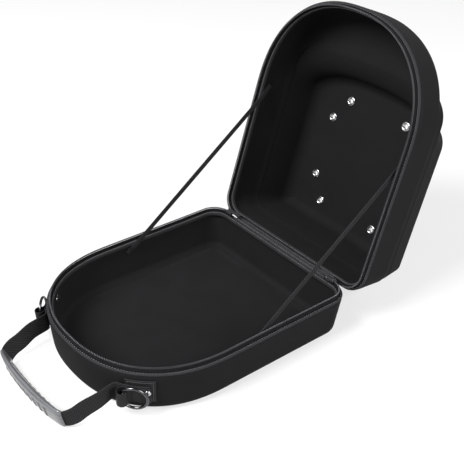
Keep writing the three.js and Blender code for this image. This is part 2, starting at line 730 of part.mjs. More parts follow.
function gripSleeve() {
  const onGrip = handleStations(GRIP_SAMPLES).filter(
    (s) => Math.abs(s.p.x) <= gripHalfLength && s.out > GRIP_FROM * HANDLE_REACH,
  );
  const picked = Array.from(
    { length: GRIP_STATIONS + 1 },
    (_, i) => onGrip[Math.round((i * (onGrip.length - 1)) / GRIP_STATIONS)],
  );
  const body = sweptBand(picked, (i) => gripSection(gripThickness(picked[i].p.x)));
  const ribs = Array.from({ length: GRIP_RIBS }, (_, k) => {
    const x = (k - (GRIP_RIBS - 1) / 2) * GRIP_RIB_PITCH;
    const s = onGrip.reduce((a, b) => (Math.abs(b.p.x - x) < Math.abs(a.p.x - x) ? b : a));
    const place = new THREE.Matrix4().makeBasis(s.t, s.normal, s.t.clone().cross(s.normal)).setPosition(s.p);
    const height = gripThickness(s.p.x) + 2 * GRIP_RIB_RISE;
    return new THREE.BoxGeometry(GRIP_RIB_LENGTH, height, GRIP_RIB_WIDTH).applyMatrix4(place);
  });
  const inTunnel = (s) => Math.abs(s.p.x) < gripHalfLength + GRIP_END_MARGIN && s.out > TUNNEL_FROM * HANDLE_REACH;
  const tunnel = sweptBand(
    webbingStations.filter(inTunnel),
    flatSection(WEBBING_THICKNESS + 2 * GRIP_CLEARANCE, WEBBING_WIDTH + 2 * GRIP_CLEARANCE),
  );
  return cut(join(body, ...ribs), tunnel);
}
mesh(part, "handle_grip", gripSleeve(), "grip");

// Vent eyelets, and the lid shell with their holes

const eyeletHoles = [];
for (const { row, across, along } of EYELETS)
  for (const [side, sign] of [["right", -1], ["left", 1]]) {
    const hole = new THREE.CylinderGeometry(EYELET_HOLE_RADIUS, EYELET_HOLE_RADIUS, 4 * LID_WALL, HOLE_SIDES);
    eyeletHoles.push(hole.rotateX(Math.PI / 2).translate(sign * across, along, DEEP_DEPTH - LID_WALL / 2));
    const under = DEEP_DEPTH - LID_WALL - EYELET_CLEARANCE;
    const over = DEEP_DEPTH + EYELET_CLEARANCE;
    const barrel = EYELET_HOLE_RADIUS - EYELET_CLEARANCE;
    const rolled = EYELET_FLANGE_RADIUS - 1;
    const profile = [
      [EYELET_BORE_RADIUS, under - EYELET_FLANGE * 0.8],
      [rolled, under - EYELET_FLANGE],
      [EYELET_FLANGE_RADIUS, under],
      [barrel, under],
      [barrel, over],
      [EYELET_FLANGE_RADIUS, over],
      [rolled, over + EYELET_FLANGE],
      [EYELET_BORE_RADIUS, over + EYELET_FLANGE * 0.8],
    ];
    const closed = [...profile, profile[0]].map(([r, z]) => new THREE.Vector2(r, z));
    const eyelet = new THREE.LatheGeometry(closed, HOLE_SIDES).rotateX(Math.PI / 2);
    mesh(lid, "eyelet_" + row + "_" + side, eyelet.translate(sign * across, along, 0), "nickel");
  }
mesh(lid, "lid_shell", cut(lidShell(), ...eyeletHoles), "shell");

// Stay straps: each lies inside both rims, and its sewn ends step out to the walls

function stay(sign) {
  const x = sign * (halfWidth - STAY_INSET);
  const foot = trayPoint(x, STAY_TRAY_ALONG, STAY_TRAY_DEPTH);
  const head = lidPoint(x, STAY_LID_ALONG, STAY_LID_DEPTH);
  const run = head.clone().sub(foot).normalize();
  const normal = V(1, 0, 0).addScaledVector(run, -run.x).normalize();
  const width = run.clone().cross(normal);
  const wallwards = V(sign * STAY_END_OFFSET, 0, 0);
  const place = (p, along, aside) => p.clone().addScaledVector(run, along).add(aside);
  const points = [
    place(foot, -STAY_END_LENGTH - STAY_TRAY_STEP, wallwards),
    place(foot, -STAY_TRAY_STEP, wallwards),
    foot,
    head,
    place(head, STAY_LID_STEP, wallwards),
    place(head, STAY_LID_STEP + STAY_END_LENGTH, wallwards),
  ];
  return sweptBand(points.map((p) => ({ p, width, normal })), flatSection(STAY_THICKNESS, STAY_WIDTH));
}
mesh(part, "stay_right", stay(1), "webbing");
mesh(part, "stay_left", stay(-1), "webbing");

// Zip sliders where the coil ends, with a bridge over a gap that holds the bar of the pull

for (const [side, sign] of [["right", 1], ["left", -1]]) {
  const zip = new THREE.Group();
  zip.position.set(
    sign * (cornerStart - SLIDER_SETBACK),
    halfLength - COIL_INSET,
    TRAY_HEIGHT + TAPE_RISE + SLIDER_CLEARANCE + SLIDER_HEIGHT / 2,
  );
  zip.scale.x = sign;
  part.add(zip);
  const top = SLIDER_HEIGHT / 2;
  const gapHeight = BRIDGE_HEIGHT - BRIDGE_BAR;
  const body = new THREE.BoxGeometry(SLIDER_LENGTH, SLIDER_WIDTH, SLIDER_HEIGHT);
  const bridge = new THREE.BoxGeometry(BRIDGE_LENGTH, BRIDGE_WIDTH, BRIDGE_HEIGHT + top);
  bridge.translate(0, 0, (BRIDGE_HEIGHT + top) / 2);
  const gap = new THREE.BoxGeometry(BRIDGE_GAP_LENGTH, 2 * BRIDGE_WIDTH, gapHeight);
  gap.translate(0, 0, top + gapHeight / 2);
  mesh(zip, "slider_" + side, cut(join(body, bridge), gap), "slider");
  const plate = new THREE.BoxGeometry(PULL_LENGTH, PULL_WIDTH, PULL_THICKNESS);
  plate.translate((PULL_BAR - PULL_LENGTH) / 2, 0, 0);
  const eye = new THREE.BoxGeometry(PULL_EYE_LENGTH, PULL_EYE_WIDTH, 2 * PULL_THICKNESS);
  eye.translate(-(PULL_BAR + PULL_EYE_LENGTH) / 2, 0, 0);
  mesh(zip, "pull_" + side, cut(plate, eye).translate(0, 0, top + gapHeight / 2), "slider");
}

export default part;
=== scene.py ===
"""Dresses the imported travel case: fine shells, rim, zip, straps, tabs and metal parts."""

import bmesh
import bpy
import numpy as np
from mathutils import Matrix


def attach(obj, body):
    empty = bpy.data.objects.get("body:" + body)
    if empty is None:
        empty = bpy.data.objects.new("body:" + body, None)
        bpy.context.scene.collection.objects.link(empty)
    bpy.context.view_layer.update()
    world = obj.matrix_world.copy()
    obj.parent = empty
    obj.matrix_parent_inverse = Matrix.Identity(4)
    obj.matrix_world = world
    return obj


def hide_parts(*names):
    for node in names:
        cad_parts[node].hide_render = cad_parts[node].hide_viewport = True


bl_info = {
    "name": "Travel case",
    "version": (1, 0, 0),
    "blender": (4, 5, 0),
    "location": "View3D > Sidebar > Case",
    "description": "Builds the shells, rim, zip, straps and fittings of an open travel case",
    "category": "Add Mesh",
}

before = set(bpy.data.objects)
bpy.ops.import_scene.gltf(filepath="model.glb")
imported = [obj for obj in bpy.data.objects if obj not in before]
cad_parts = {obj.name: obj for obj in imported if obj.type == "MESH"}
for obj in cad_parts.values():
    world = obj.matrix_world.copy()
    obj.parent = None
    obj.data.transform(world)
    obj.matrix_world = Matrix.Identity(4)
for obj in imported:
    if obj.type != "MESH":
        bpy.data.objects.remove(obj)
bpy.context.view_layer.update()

RIM_POINTS = 420
RIM_LOOP_POINTS = 2 * RIM_POINTS
SIDES = (("right", 1), ("left", -1))
SIDEWAYS = np.array([1.0, 0.0, 0.0])

# A short step to one side of a line in metres, which gives the direction across it.
ASIDE = 0.001


def length(name, description, default):
    """A size in metres that a user may change."""
    return bpy.props.FloatProperty(
        name=name, description=description, default=default, min=0.0, precision=4, unit="LENGTH"
    )


def shade(name, description, default):
    """A linear colour that a user may change."""
    return bpy.props.FloatVectorProperty(
        name=name, description=description, default=default, size=3, min=0.0, max=1.0, subtype="COLOR"
    )


def number(name, description, default):
    """A plain number that a user may change."""
    return bpy.props.FloatProperty(name=name, description=description, default=default)


def angle(name, description, degrees):
    """An angle that a user may change, with its default in degrees."""
    return bpy.props.FloatProperty(
        name=name, description=description, default=np.radians(degrees), unit="ROTATION"
    )


class CaseShells(bpy.types.PropertyGroup):
    """Sizes of the two moulded halves."""

    width: length("Width", "Across the case, along the hinge", 0.315)
    length: length("Length", "From the hinge to the tip of the arch", 0.395)
    arch_depth: length("Arch depth", "How far back the arch begins", 0.165)
    arch_exponent: number("Arch fullness", "Superellipse power", 2.3)
    corner_radius: length("Corner radius", "Corners at the hinge", 0.035)
    tray_height: length("Tray height", "Floor to the rim plane", 0.071)
    tray_draft: length("Tray draft", "How much the wall leans in", 0.0086)
    tray_edge: length("Tray edge radius", "Round edge of the underside", 0.015)
    tray_inner_edge: length("Tray inner radius", "Round edge of the floor inside", 0.009)
    tray_wall: length("Tray wall", "Thickness of the tray's wall", 0.005)
    tray_floor: length("Tray floor", "Thickness of the tray's floor", 0.006)
    lid_wall: length("Lid wall", "Thickness of the lid", 0.004)
    shallow_depth: length("Shallow depth", "Depth of the lid at the arch", 0.070)
    shallow_draft: length("Shallow draft", "How much the shallow wall leans in", 0.008)
    shallow_edge: length("Shallow edge radius", "Round edge of the shallow zone", 0.019)
    crown_rise: length("Crown rise", "Dome of the shallow zone", 0.005)
    crown_reach: number("Crown reach", "Share that the dome covers", 0.47)
    deep_depth: length("Deep depth", "Depth of the lid at the hinge end", 0.124)
    deep_length: length("Deep length", "How far the deep zone runs", 0.299)
    deep_step: length("Deep side step", "Inset where the deep wall begins", 0.009)
    deep_draft: length("Deep draft", "How much the deep wall leans in", 0.0156)
    deep_spread: length("Deep hinge spread", "How much less the hinge end leans in", 0.005)
    deep_root: length("Deep root radius", "Concave sweep at the deep zone's arch", 0.040)
    deep_edge: length("Deep edge radius", "Round edge of the deep zone", 0.017)
    deep_arch: length("Deep arch", "Depth of the deep zone's arch", 0.078)
    deep_exponent: number("Deep fullness", "Superellipse power", 2.4)
    zone_blend: length("Zone blend", "Softness where the zones meet", 0.004)
    lid_angle: angle("Opening angle", "Lid against tray", 105)
    lid_setback: length("Lid setback", "Lid pivot behind the tray", 0.007)
    lid_drop: length("Lid drop", "Lid pivot below the rim plane", 0.008)
    lid_shift: length("Lid shift", "Sideways lie of the open lid", 0.008)


class CaseRim(bpy.types.PropertyGroup):
    """Sizes of the piping, binding, zip and hinge."""

    shell_top: length("Shell top", "Shell edge below the rim plane", 0.0045)
    ledge_start: length("Ledge start", "Inset of the shell's outer edge", 0.0005)
    ledge: length("Ledge", "Width of the shell's edge", 0.005)
    piping_radius: length("Piping radius", "Covered cord", 0.002)
    piping_inset: length("Piping inset", "Cord centre from the outline", 0.0023)
    piping_depth: length("Piping depth", "Cord centre below the rim plane", 0.0022)
    tape_thickness: length("Tape thickness", "Zip tape", 0.001)
    tape_foot_inset: length("Tape foot inset", "Where the tape is sewn", 0.0053)
    tape_head_inset: length("Tape head inset", "Where the coil sits", 0.0059)
    tape_foot: length("Tape foot", "Depth of the tape's foot", 0.0042)
    tape_rise: length("Tape rise", "Height of the tape above the rim", 0.0044)
    coil_radius: length("Coil radius", "Outside of the zip coil", 0.0016)
    coil_inset: length("Coil inset", "Coil centre from the outline", 0.0061)
    coil_rise: length("Coil rise", "Coil centre above the rim plane", 0.0064)
    coil_pitch: length("Coil pitch", "One tooth of the zip", 0.0028)
    binding_gap: length("Binding gap", "Between shell and binding", 0.00055)
    binding_width: length("Binding width", "Rolled inner binding", 0.0048)
    binding_height: length("Binding height", "Rolled inner binding", 0.008)
    binding_top: length("Binding top", "Below the rim plane", 0.0002)
    tape_end: length("Tape end", "Tape ends inside the corner by", 0.0095)
    coil_end: length("Coil end", "Coil ends outside the corner by", 0.0035)
    hinge_thickness: length("Hinge thickness", "Textile hinge", 0.0013)
    hinge_tuck: length("Hinge tuck", "How deep the hinge is sewn in", 0.0042)
    stitch_pitch: length("Stitch pitch", "Sewn rows", 0.0038)


class CaseFittings(bpy.types.PropertyGroup):
    """Sizes of the eyelets, tabs, handle and stays."""

    eyelet_radius: length("Eyelet radius", "Outside of the flange", 0.0078)
    eyelet_bore: length("Eyelet bore", "Radius of the opening", 0.0042)
    eyelet_hole: length("Eyelet hole", "Radius of the hole in the shell", 0.0056)
    eyelet_flange: length("Eyelet flange", "Height of the flange", 0.0012)
    tab_angle: angle("Tab place", "Place round the arch", 49)
    tab_height: length("Tab height", "Centre of the tabs", 0.038)
    patch_length: length("Patch length", "Along the wall", 0.042)
    patch_offset: length("Patch offset", "Patch centre from the tab centre", 0.008)
    patch_height: length("Patch height", "Up the wall", 0.040)
    patch_rise: length("Patch rise", "Patch centre above the tab centre", 0.0025)
    patch_thickness: length("Patch thickness", "Leather patch", 0.0016)
    patch_gap: length("Patch gap", "Between the wall and the patch", 0.0006)
    loop_along: length("Loop place", "Tube of the ring loop, towards the arch tip", 0.014)
    loop_height: length("Loop height", "Width of the ring loop", 0.025)
    loop_radius: length("Loop radius", "Outside of the loop's tube", 0.0079)
    loop_tail: length("Loop tail", "End of the loop's tail", 0.024)
    loop_leather: length("Loop leather", "One layer of the loop", 0.0014)
    ring_radius: length("Ring radius", "To the wire's centre", 0.0185)
    ring_wire: length("Ring wire", "Radius of the ring's wire", 0.002)
    rivet_along: length("Rivet place", "Along the wall", 0.0185)
    rivet_rise: length("Rivet rise", "Above the tab centre", 0.0075)
    rivet_cap: length("Rivet cap", "Radius of the cap", 0.0045)
    rivet_head: length("Rivet head", "Radius of the inner head", 0.0072)
    webbing_width: length("Webbing width", "Handle strap", 0.028)
    webbing_thickness: length("Webbing thickness", "Handle strap", 0.0022)
    handle_reach: length("Handle reach", "Grip from the arch tip", 0.061)
    handle_span: length("Handle half span", "Half the strap's spread", 0.085)
    handle_height: length("Handle height", "Centre of the grip above the ground", 0.0168)
    grip_thickness: length("Grip thickness", "In the middle", 0.0115)
    grip_end: length("Grip end", "Thickness at the ends", 0.0064)
    rib_pitch: length("Rib pitch", "Between the grip's ribs", 0.012)
    rib_rise: length("Rib rise", "Height of the grip's ribs", 0.0011)
    stay_width: length("Stay width", "Strap that holds the lid", 0.009)
    stay_thickness: length("Stay thickness", "Strap that holds the lid", 0.0012)
    stay_inset: length("Stay inset", "From the outline", 0.012)
    stay_tray: length("Stay on tray", "Along the tray from the hinge", 0.1825)
    stay_lid: length("Stay on lid", "Along the lid from the hinge", 0.208)


class CaseColours(bpy.types.PropertyGroup):
    """Base colours of the finishes."""

    shell: shade("Shell fabric", "Knit over moulded foam", (0.0056, 0.0056, 0.0060))
    trim: shade("Rim trim", "Tape, piping and hinge", (0.0145, 0.0147, 0.0156))
    binding: shade("Binding", "Rolled inner binding", (0.0135, 0.0136, 0.0143))
    coil: shade("Zip coil", "Nylon", (0.0280, 0.0286, 0.0312))
    webbing: shade("Webbing", "Handle and stays", (0.0110, 0.0110, 0.0116))
    leather: shade("Tabs", "Grained leather cloth", (0.0085, 0.0085, 0.0090))
    nickel: shade("Nickel", "Eyelets and rivets", (0.45, 0.45, 0.46))
    ring: shade("Ring", "Dark plated steel", (0.075, 0.075, 0.079))
    grip: shade("Grip", "Moulded plastic", (0.058, 0.060, 0.064))
    thread: shade("Thread", "Sewing thread", (0.105, 0.105, 0.110))
    floor: shade("Floor", "Plain studio floor", (0.24, 0.24, 0.24))


def shells():
    return bpy.context.scene.case_shells


def rim():
    return bpy.context.scene.case_rim


def fittings():
    return bpy.context.scene.case_fittings


def colours():
    return bpy.context.scene.case_colours


# Curves and outlines

CORNER_STEPS = 40
ARCH_STEPS = 240


def unit(v):
    """Rows scaled to length one."""
    return v / np.maximum(np.linalg.norm(v, axis=-1, keepdims=True), 1e-12)


def quarter(count):
    """Evenly spaced angles of a quarter turn, with both ends."""
    return np.linspace(0.0, np.pi / 2, count)


def full_turn(count):
    """Evenly spaced angles of one full turn."""
    return np.linspace(0, 2 * np.pi, count, endpoint=False)


def run_length(points):
    """Distance along a polyline at each of its points."""
    steps = np.linalg.norm(np.diff(points, axis=0), axis=1)
    return np.concatenate([[0.0], np.cumsum(steps)])


def sample(at, along, rows):
    """Points or directions of a line, read off at distances along it."""
    return np.stack([np.interp(at, along, rows[:, k]) for k in range(rows.shape[1])], axis=-1)


def resample(points, count, closed=False):
    """A polyline at evenly spaced distances; a closed one does not repeat its first point."""
    if closed:
        points = np.vstack([points, points[:1]])
    along = run_length(points)
    at = np.linspace(0.0, along[-1], count + 1)[:-1] if closed else np.linspace(0.0, along[-1], count)
    return sample(at, along, points)


def arched_outline(case_length, arch_depth, exponent, count):
    """Plan outline from the middle of the hinge edge: quarter circles at the hinge, straight sides,
    and an arch with across = half width * cos(t)^(2/n) and along = start + depth * sin(t)^(2/n)."""
    s = shells()
    half, radius, power = s.width / 2, s.corner_radius, 2 / exponent
    t = quarter(CORNER_STEPS)[:, None]
    corner = np.hstack([half - radius + radius * np.sin(t), radius * (1 - np.cos(t))])
    t = quarter(ARCH_STEPS)[:, None]
    across = half * np.abs(np.cos(t)) ** power
    along = case_length - arch_depth + arch_depth * np.sin(t) ** power
    right = np.vstack([corner, np.hstack([across, along])])
    left = right[::-1][1:] * (-1, 1)
    return resample(np.vstack([[[0.0, 0.0]], right, left]), count, closed=True)


def inset(points, amount):
    """A closed outline moved inwards along its own normals."""
    run = unit(np.roll(points, -1, axis=0) - np.roll(points, 1, axis=0))
    inwards = np.column_stack([-run[:, 1], run[:, 0]])
    return points + inwards * amount


def polar_radius(points, centre, angles):
    """Distance from a centre to a closed outline in each direction."""
    offset = points - centre
    theta = np.arctan2(offset[:, 1], offset[:, 0])
    order = np.argsort(theta)
    return np.interp(angles, theta[order], np.linalg.norm(offset, axis=1)[order], period=2 * np.pi)


def tray_place(points):
    """From across, along and depth of the tray to the case's own frame."""
    s = shells()
    points = np.asarray(points)
    return np.stack([points[..., 0], s.length / 2 - points[..., 1], s.tray_height - points[..., 2]], axis=-1)


def lid_axes():
    """Directions along the lid from the hinge, and out of its back."""
    turn = shells().lid_angle
    return np.array([0.0, -np.cos(turn), np.sin(turn)]), np.array([0.0, np.sin(turn), np.cos(turn)])


def lid_place(points):
    """From across, along and depth of the lid to the case's own frame, turned about the hinge."""
    s = shells()
    points = np.asarray(points)
    along, out = lid_axes()
    pivot = np.array([s.lid_shift, s.length / 2 + s.lid_setback, s.tray_height - s.lid_drop])
    return pivot + points[..., :1] * SIDEWAYS + points[..., 1:2] * along + points[..., 2:3] * out


HALVES = (("tray", tray_place), ("lid", lid_place))


def case_outline(count=RIM_POINTS):
    s = shells()
    return arched_outline(s.length, s.arch_depth, s.arch_exponent, count)


def ring_at(outline, amount, depth):
    """The outline moved inwards by amount, at a depth below the rim plane."""
    flat = inset(outline, amount)
    return np.column_stack([flat, np.full(len(flat), depth)])


def smoothstep(x, low, high):
    t = np.clip((x - low) / (high - low), 0.0, 1.0)
    return t * t * (3 - 2 * t)


def centripetal(points, count):
    """Centripetal Catmull-Rom curve through points: count samples, evenly shared between the spans."""
    points = np.asarray(points, float)
    padded = np.vstack([2 * points[0] - points[1], points, 2 * points[-1] - points[-2]])
    at = np.linspace(0.0, len(points) - 1, count)
    span = np.minimum(at.astype(int), len(points) - 2)
    w = (at - span)[:, None]
    p0, p1, p2, p3 = (padded[span + k] for k in range(4))
    d0, d1, d2 = (np.sqrt(np.linalg.norm(b - a, axis=1))[:, None] for a, b in ((p0, p1), (p1, p2), (p2, p3)))
    t1 = ((p1 - p0) / d0 - (p2 - p0) / (d0 + d1) + (p2 - p1) / d1) * d1
    t2 = ((p2 - p1) / d1 - (p3 - p1) / (d1 + d2) + (p3 - p2) / d2) * d1
    c2 = -3 * p1 + 3 * p2 - 2 * t1 - t2
    c3 = 2 * p1 - 2 * p2 + t1 + t2
    return p1 + t1 * w + c2 * w**2 + c3 * w**3


# Meshes

EDGE_STEPS = 6
TURNED_SIDES = 40
# Angles in degrees over which an edge is sharp.
SHARP = 40.0
SLAB_SHARP = 50.0

# A stitch from end to end: its thickness and its height over the cloth, as shares of the thread's radius.
STITCH_SIZE = (0.35, 0.9, 1.0, 0.9, 0.35)
STITCH_HEIGHT = (-1.2, -0.1, 0.25, -0.1, -1.2)
STITCH_SIDES = 6
# Faces that close a stitch, by point number: two at its first ring and two at its last.
STITCH_ENDS = ((3, 2, 1, 0), (5, 4, 3, 0), (25, 26, 27, 24), (27, 28, 29, 24))


def build(name, verts, faces, material, uv=None, wear_and_painted_light=None, sharp=SHARP):
    """An object at the origin from arrays of points and quads or triangles, shaded smooth."""
    mesh = bpy.data.meshes.new(name)
    mesh.from_pydata(verts.astype(float).tolist(), [], faces)
    if uv is not None:
        layer = mesh.uv_layers.new(name="UVMap")
        layer.data.foreach_set("uv", uv.astype(np.float32).ravel())
    # A per-point mask for the finishes: paler bends on the shells, partly worn and partly painted highlight,
    # and painted shade in the grip's slots.
    if wear_and_painted_light is not None:
        layer = mesh.attributes.new("wear_and_painted_light", "FLOAT", "POINT")
        layer.data.foreach_set("value", wear_and_painted_light.astype(np.float32).ravel())
    mesh.update()
    mesh.shade_smooth()
    if sharp:
        mesh.set_sharp_from_angle(angle=np.radians(sharp))
    mesh.materials.append(material)
    made = bpy.data.objects.new(name, mesh)
    bpy.context.scene.collection.objects.link(made)
    return made


def grid_faces(rows, columns, close_rows=False, close_columns=False):
    """Quads of a grid, each as four point numbers, and as four row and column steps for its UVs."""
    r = np.arange(rows if close_rows else rows - 1)
    c = np.arange(columns if close_columns else columns - 1)
    r, c = np.meshgrid(r, c, indexing="ij")
    step_r = np.stack([r, r, r + 1, r + 1], axis=-1).reshape(-1, 4)
    step_c = np.stack([c, c + 1, c + 1, c], axis=-1).reshape(-1, 4)
    return (step_r % rows) * columns + step_c % columns, step_r, step_c


def outward(verts, quads):
    """True where a closed skin of quads has its faces pointing out, from its signed volume."""
    a, b, c, d = (verts[quads[:, k]] for k in range(4))
    volume = np.einsum("ij,ij->i", a, np.cross(b, c)) + np.einsum("ij,ij->i", a, np.cross(c, d))
    return volume.sum() > 0


def grid_uv(grid, step_r, step_c):
    """UVs in metres: distance across the columns of the middle row, and down the middle column."""
    rows, columns = grid.shape[:2]
    across = run_length(np.vstack([grid[rows // 2], grid[rows // 2][:1]]))
    down = run_length(np.vstack([grid[:, columns // 2], grid[:1, columns // 2]]))
    return np.stack([across[step_c], down[step_r]], axis=-1)


def skin(name, grid, material, close_rows=False, poles=False, wear_and_painted_light=None, sharp=SHARP):
    """A skin over a grid of points whose columns run round it, with its ends closed by a pole where asked."""
    rows, columns = grid.shape[:2]
    quads, step_r, step_c = grid_faces(rows, columns, close_rows, close_columns=True)
    verts = grid.reshape(-1, 3)
    uv = grid_uv(grid, step_r, step_c)
    flip = not outward(verts, quads)
    if flip:
        quads = quads[:, ::-1]
        uv = uv[:, ::-1]
    faces = quads.tolist()
    uv = uv.reshape(-1, 2)
    if poles:
        end = (rows - 1) * columns
        ring = np.arange(columns)
        after = np.roll(ring, -1)
        first = np.column_stack([np.full(columns, len(verts)), after, ring])
        last = np.column_stack([np.full(columns, len(verts) + 1), end + ring, end + after])
        tris = np.vstack([first, last])
        if flip:
            tris = tris[:, ::-1]
        verts = np.vstack([verts, grid[0].mean(axis=0), grid[-1].mean(axis=0)])
        faces += tris.tolist()
        uv = np.vstack([uv, np.zeros((3 * len(tris), 2))])
        if wear_and_painted_light is not None:
            wear_and_painted_light = np.concatenate([wear_and_painted_light.ravel(), [0.0, 0.0]])
    return build(name, verts, faces, material, uv, wear_and_painted_light, sharp)


def tube(name, path, radius, sides, material, up, closed=False):
    """A round tube: path + radius * (cos a * side + sin a * lift) for each angle a, its lift towards up."""
    run = path_run(path, closed)
    side = unit(np.cross(run, up))[:, None]
    lift = np.cross(side[:, 0], run)[:, None]
    a = full_turn(sides)[None, :, None]
    radius = np.broadcast_to(np.asarray(radius, float).reshape(-1, 1, 1), (len(path), 1, 1))
    grid = path[:, None] + radius * (np.cos(a) * side + np.sin(a) * lift)
    return skin(name, grid, material, close_rows=closed, poles=not closed)


def path_run(path, closed=False):
    """Unit direction of a path at each of its points."""
    if closed:
        return unit(np.roll(path, -1, axis=0) - np.roll(path, 1, axis=0))
    return unit(np.gradient(path, axis=0))


def lathe(name, profile, place, closed, sharp):
    """Plated metal turned from a profile of radius and height, then placed by a 4 by 4 matrix."""
    radius, height = np.asarray(profile, float).T[:, :, None]
    a = full_turn(TURNED_SIDES)
    grid = np.stack([radius * np.cos(a), radius * np.sin(a), height + 0 * a], axis=-1)
    return skin(name, move(grid, place), finish("nickel"), closed, poles=not closed, sharp=sharp)


def place_matrix(x, y, z, origin):
    """A 4 by 4 matrix from three axes and an origin."""
    made = np.eye(4)
    made[:3, 0], made[:3, 1], made[:3, 2], made[:3, 3] = x, y, z, origin
    return made


def move(points, matrix):
    """Points carried by a 4 by 4 matrix."""
    return points @ matrix[:3, :3].T + matrix[:3, 3]


def edge_values(low, high, rounding, inner):
    """Values from low to high, closely spaced within the rounding at both ends."""
    near = rounding * (1 - np.cos(quarter(EDGE_STEPS)))
    middle = np.linspace(low + rounding, high - rounding, inner)[1:-1]
    return np.concatenate([low + near, middle, (high - near)[::-1]])


def slab(name, u, v, surface, thickness, rounding, material, relief=None):
    """A closed sheet with round edges. surface(u, v) gives the middle and its normal; the half thickness is
    half * sqrt(1 - (1 - e / r)^2) where e, the distance to the nearest edge, is under the rounding r."""
    uu, vv = np.meshgrid(u, v, indexing="ij")
    middle, normal = surface(uu, vv)
    edge = np.minimum(np.minimum(uu - u[0], u[-1] - uu), np.minimum(vv - v[0], v[-1] - vv))
    share = np.clip(edge / rounding, 0.0, 1.0)[..., None]
    half = (thickness / 2) * np.sqrt(np.maximum(1 - (1 - share) ** 2, 0.0))
    raised = 0.0 if relief is None else relief(uu, vv)[..., None] * share**0.5
    top = middle + normal * (half + raised)
    verts = np.vstack([top.reshape(-1, 3), (middle - normal * half).reshape(-1, 3)])
    quads, step_r, step_c = grid_faces(*uu.shape)
    index = np.arange(uu.size).reshape(uu.shape)
    border = np.ones(uu.shape, bool)
    border[1:-1, 1:-1] = False
    remap = np.arange(len(verts))
    remap[index[border] + uu.size] = index[border]
    faces = remap[np.vstack([quads, quads[:, ::-1] + uu.size])]
    uv = np.stack([u[step_r], v[step_c]], axis=-1)
    uv = np.concatenate([uv, uv[:, ::-1]])
    if not outward(verts, faces):
        faces = faces[:, ::-1]
        uv = uv[:, ::-1]
    used, faces = np.unique(faces, return_inverse=True)
    return build(
        name, verts[used], faces.reshape(-1, 4).tolist(), material, uv.reshape(-1, 2), sharp=SLAB_SHARP
    )


def band(name, path, width_dir, half_width, thickness, rounding, material, relief=None, columns=10):
    """A flat strap along a path: middle = path + v * width direction, normal = run x width."""
    along = run_length(path)
    run = path_run(path)
    width_dir = unit(width_dir - run * np.sum(run * width_dir, axis=1, keepdims=True))
    normal = unit(np.cross(run, width_dir))
    u = edge_values(0.0, along[-1], rounding, max(8, len(path)))
    v = edge_values(-half_width, half_width, rounding, columns)

    def surface(uu, vv):
        middle = sample(uu, along, path) + vv[..., None] * sample(uu, along, width_dir)
        return middle, unit(sample(uu, along, normal))

    return slab(name, u, v, surface, thickness, rounding, material, relief)


def stitches(name, path, normal, pitch, radius=0.00026, reach=0.36):
    """Short thread capsules along a path: each lies on the surface and dips at both ends."""
    along = run_length(path)
    count = max(2, int(along[-1] / pitch))
    at = (np.arange(count) + 0.5) * along[-1] / count
    middle = sample(at, along, path)
    run = unit(sample(at, along, path_run(path)))
    up = unit(sample(at, along, normal))
    side = np.cross(run, up)
    middle, run, up, side = (rows[:, None, None] for rows in (middle, run, up, side))
    x = np.linspace(-reach, reach, len(STITCH_SIZE))[:, None, None] * pitch
    size = radius * np.array(STITCH_SIZE)[:, None, None]
    height = radius * np.array(STITCH_HEIGHT)[:, None, None]
    a = full_turn(STITCH_SIDES)[None, :, None]
    verts = middle + (x * run + (height + size * np.sin(a)) * up + (size * np.cos(a)) * side)
    verts = verts.reshape(count, -1, 3)
    quads, _, _ = grid_faces(len(STITCH_SIZE), STITCH_SIDES, close_columns=True)
    shape = np.vstack([quads, STITCH_ENDS])
    if not outward(verts[0], quads):
        shape = shape[:, ::-1]
    faces = shape + verts.shape[1] * np.arange(count)[:, None, None]
    return build(name, verts.reshape(-1, 3), faces.reshape(-1, 4).tolist(), finish("thread"), sharp=0)


def settle(made, slot, *nodes):
    """Rides on the case and stands for its CAD nodes; its slot is not used."""
    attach(made, "root")
    if nodes:
        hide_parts(*nodes)
    return made


# Materials


